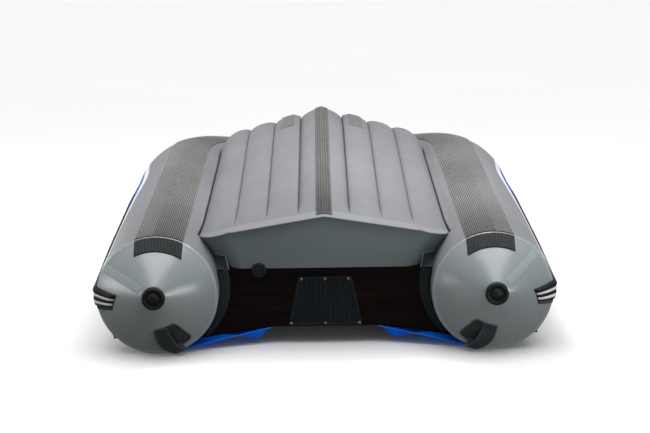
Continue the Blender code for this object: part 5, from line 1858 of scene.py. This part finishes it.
def make_camera():
    scene = bpy.context.scene
    data = bpy.data.cameras.new("camera")
    data.lens, data.sensor_width, data.clip_end = CAMERA_LENS, CAMERA_SENSOR, CAMERA_RANGE
    camera = bpy.data.objects.new("camera", data)
    scene.collection.objects.link(camera)
    aim = Matrix.Rotation(CAMERA_YAW, 3, "Z") @ Matrix.Rotation(-CAMERA_DOWN, 3, "X")
    right, forward, up = (aim @ Matrix.Rotation(CAMERA_ROLL, 3, "Y")).transposed()
    view = Matrix((right, up, -forward)).transposed().to_4x4()
    camera.matrix_world = BOAT @ Matrix.Translation(CAMERA_PLACE) @ view
    scene.camera = camera


def make_floor():
    mesh = bpy.data.meshes.new("floor")
    bm = bmesh.new()
    bmesh.ops.create_circle(bm, cap_ends=True, radius=FLOOR_RADIUS, segments=96)
    bm.to_mesh(mesh)
    bm.free()
    mesh.materials.append(pale_floor("floor"))
    floor = bpy.data.objects.new("floor", mesh)
    bpy.context.scene.collection.objects.link(floor)
    floor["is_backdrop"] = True
    floor.visible_diffuse = floor.visible_glossy = False


def make_surround():
    """An even pale surround, darker below than above."""
    world = bpy.data.worlds.new("surround")
    world.use_nodes = True
    tree = world.node_tree
    place = tree.nodes.new("ShaderNodeTexCoord")
    split = tree.nodes.new("ShaderNodeSeparateXYZ")
    ramp = tree.nodes.new("ShaderNodeValToRGB")
    ramp.color_ramp.interpolation = "EASE"
    stops = ramp.color_ramp.elements
    for height, _ in SURROUND[1:-1]:
        stops.new(height)
    for stop, (_, colour) in zip(stops, SURROUND):
        stop.color = (*colour, 1)
    share = tree.nodes.new("ShaderNodeMapRange")
    share.inputs["From Min"].default_value = -1
    tree.links.new(place.outputs["Generated"], split.inputs[0])
    tree.links.new(split.outputs["Z"], share.inputs["Value"])
    tree.links.new(share.outputs["Result"], ramp.inputs["Fac"])
    tree.links.new(ramp.outputs["Color"], tree.nodes["Background"].inputs["Color"])
    bpy.context.scene.world = world


def light_object(data, place, aim):
    light = bpy.data.objects.new(data.name, data)
    bpy.context.scene.collection.objects.link(light)
    light.location = place
    light.rotation_mode = "QUATERNION"
    light.rotation_quaternion = (Vector(aim) - Vector(place)).to_track_quat("-Z", "Y")


def make_lights():
    """An even light from a wide stretch of the ceiling, and soft rectangular lamps round the stern."""
    sun = bpy.data.lights.new("overhead", "SUN")
    sun.energy, sun.angle = SUN_STRENGTH, SUN_SPREAD
    light_object(sun, SUN_FROM, (0, 0, 0))
    for name, (place, aim, size, power) in LAMPS.items():
        lamp = bpy.data.lights.new(name, "AREA")
        lamp.shape = "RECTANGLE"
        lamp.size, lamp.size_y = size
        lamp.energy = power
        light_object(lamp, place, aim)


def make_stage():
    """Camera, pale floor, soft overhead light and an even pale surround."""
    make_camera()
    make_floor()
    make_surround()
    make_lights()
    settings = bpy.context.scene.view_settings
    settings.view_transform = "Standard"
    settings.look = "None"


class BOAT_OT_stage(bpy.types.Operator):
    """Sets up the camera, the floor and the lights"""

    bl_idname = "boat.stage"
    bl_label = "Stage"

    def execute(self, context):
        make_stage()
        return {"FINISHED"}


class BOAT_OT_tubes(bpy.types.Operator):
    """Makes the tube's skin and its bands"""

    bl_idname = "boat.tubes"
    bl_label = "Tubes"

    def execute(self, context):
        make_tubes(context.scene.boat_sizes)
        return {"FINISHED"}


class BOAT_OT_cones(bpy.types.Operator):
    """Makes the stern cones, their seams and caps"""

    bl_idname = "boat.cones"
    bl_label = "Stern cones"

    def execute(self, context):
        make_cones(context.scene.boat_sizes)
        return {"FINISHED"}


class BOAT_OT_bottom(bpy.types.Operator):
    """Makes the inflatable bottom, its hem and its seams"""

    bl_idname = "boat.bottom"
    bl_label = "Bottom"

    def execute(self, context):
        make_bottom(context.scene.boat_sizes)
        return {"FINISHED"}


class BOAT_OT_stern_panel(bpy.types.Operator):
    """Makes the panel under the stern edge"""

    bl_idname = "boat.stern_panel"
    bl_label = "Stern panel"

    def execute(self, context):
        make_stern_panel()
        return {"FINISHED"}


class BOAT_OT_bottom_guards(bpy.types.Operator):
    """Makes the ribbed strips on the bottom"""

    bl_idname = "boat.bottom_guards"
    bl_label = "Keel strips"

    def execute(self, context):
        make_bottom_guards(context.scene.boat_sizes)
        return {"FINISHED"}


class BOAT_OT_tube_guards(bpy.types.Operator):
    """Makes the ribbed strips on the tubes"""

    bl_idname = "boat.tube_guards"
    bl_label = "Tube guards"

    def execute(self, context):
        make_tube_guards(context.scene.boat_sizes)
        return {"FINISHED"}


class BOAT_OT_strake(bpy.types.Operator):
    """Makes the strake round the tube"""

    bl_idname = "boat.strake"
    bl_label = "Rubbing strake"

    def execute(self, context):
        make_strake()
        return {"FINISHED"}


class BOAT_OT_transom(bpy.types.Operator):
    """Makes the transom and its plates"""

    bl_idname = "boat.transom"
    bl_label = "Transom"

    def execute(self, context):
        make_transom()
        return {"FINISHED"}


class BOAT_OT_holders(bpy.types.Operator):
    """Makes the strips that hold the transom"""

    bl_idname = "boat.holders"
    bl_label = "Transom holders"

    def execute(self, context):
        make_transom_holders()
        return {"FINISHED"}


class BOAT_OT_wings(bpy.types.Operator):
    """Makes the blue fabric beside the transom"""

    bl_idname = "boat.wings"
    bl_label = "Transom wings"

    def execute(self, context):
        make_wings()
        return {"FINISHED"}


class BOAT_OT_drain(bpy.types.Operator):
    """Makes the drain valve"""

    bl_idname = "boat.drain"
    bl_label = "Drain valve"

    def execute(self, context):
        make_drain()
        return {"FINISHED"}


class BOAT_OT_lugs(bpy.types.Operator):
    """Makes the lugs on the cones"""

    bl_idname = "boat.lugs"
    bl_label = "Towing lugs"

    def execute(self, context):
        make_lugs()
        return {"FINISHED"}


class BOAT_OT_handles(bpy.types.Operator):
    """Makes the handles and towing rings"""

    bl_idname = "boat.handles"
    bl_label = "Handles"

    def execute(self, context):
        make_handles()
        return {"FINISHED"}


class BOAT_OT_lifelines(bpy.types.Operator):
    """Makes the ropes and their blocks"""

    bl_idname = "boat.lifelines"
    bl_label = "Lifelines"

    def execute(self, context):
        make_lifelines(context.scene.boat_sizes)
        return {"FINISHED"}


class BOAT_OT_valves(bpy.types.Operator):
    """Makes the air valves"""

    bl_idname = "boat.valves"
    bl_label = "Air valves"

    def execute(self, context):
        make_valves()
        return {"FINISHED"}


class BOAT_OT_rails(bpy.types.Operator):
    """Makes the rails of the benches"""

    bl_idname = "boat.rails"
    bl_label = "Bench rails"

    def execute(self, context):
        make_rails()
        return {"FINISHED"}


class BOAT_OT_benches(bpy.types.Operator):
    """Makes the benches"""

    bl_idname = "boat.benches"
    bl_label = "Benches"

    def execute(self, context):
        make_benches()
        return {"FINISHED"}


class BOAT_OT_oarlocks(bpy.types.Operator):
    """Makes the oarlocks"""

    bl_idname = "boat.oarlocks"
    bl_label = "Oarlocks"

    def execute(self, context):
        make_oarlocks()
        return {"FINISHED"}


OPERATORS = (
    BOAT_OT_stage, BOAT_OT_tubes, BOAT_OT_cones, BOAT_OT_bottom, BOAT_OT_stern_panel,
    BOAT_OT_bottom_guards, BOAT_OT_tube_guards, BOAT_OT_strake, BOAT_OT_transom, BOAT_OT_holders,
    BOAT_OT_wings, BOAT_OT_drain, BOAT_OT_lugs, BOAT_OT_handles, BOAT_OT_lifelines, BOAT_OT_valves,
    BOAT_OT_rails, BOAT_OT_benches, BOAT_OT_oarlocks,
)


class BOAT_PT_pieces(bpy.types.Panel):
    """Lists the pieces of the boat, its sizes and its colours"""

    bl_idname = "BOAT_PT_pieces"
    bl_label = "Inflatable boat"
    bl_space_type = "VIEW_3D"
    bl_region_type = "UI"
    bl_category = "Boat"

    def draw(self, context):
        for group in (context.scene.boat_sizes, context.scene.boat_colours):
            box = self.layout.box()
            for name in group.__annotations__:
                box.prop(group, name)
        for operator in OPERATORS:
            self.layout.operator(operator.bl_idname)


CLASSES = (BoatSizes, BoatColours, *OPERATORS, BOAT_PT_pieces)


def register():
    for found in CLASSES:
        bpy.utils.register_class(found)
    bpy.types.Scene.boat_sizes = bpy.props.PointerProperty(type=BoatSizes)
    bpy.types.Scene.boat_colours = bpy.props.PointerProperty(type=BoatColours)


def unregister():
    del bpy.types.Scene.boat_colours
    del bpy.types.Scene.boat_sizes
    for found in reversed(CLASSES):
        bpy.utils.unregister_class(found)


def main():
    register()
    for operator in OPERATORS:
        getattr(bpy.ops.boat, operator.bl_idname.split(".")[1])()
    boxes = {"cad": CAD_BOUNDS, "visual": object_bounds()}
    {name: [list(corner) for corner in box] for name, box in boxes.items()}


if __name__ == "__main__":
    main()
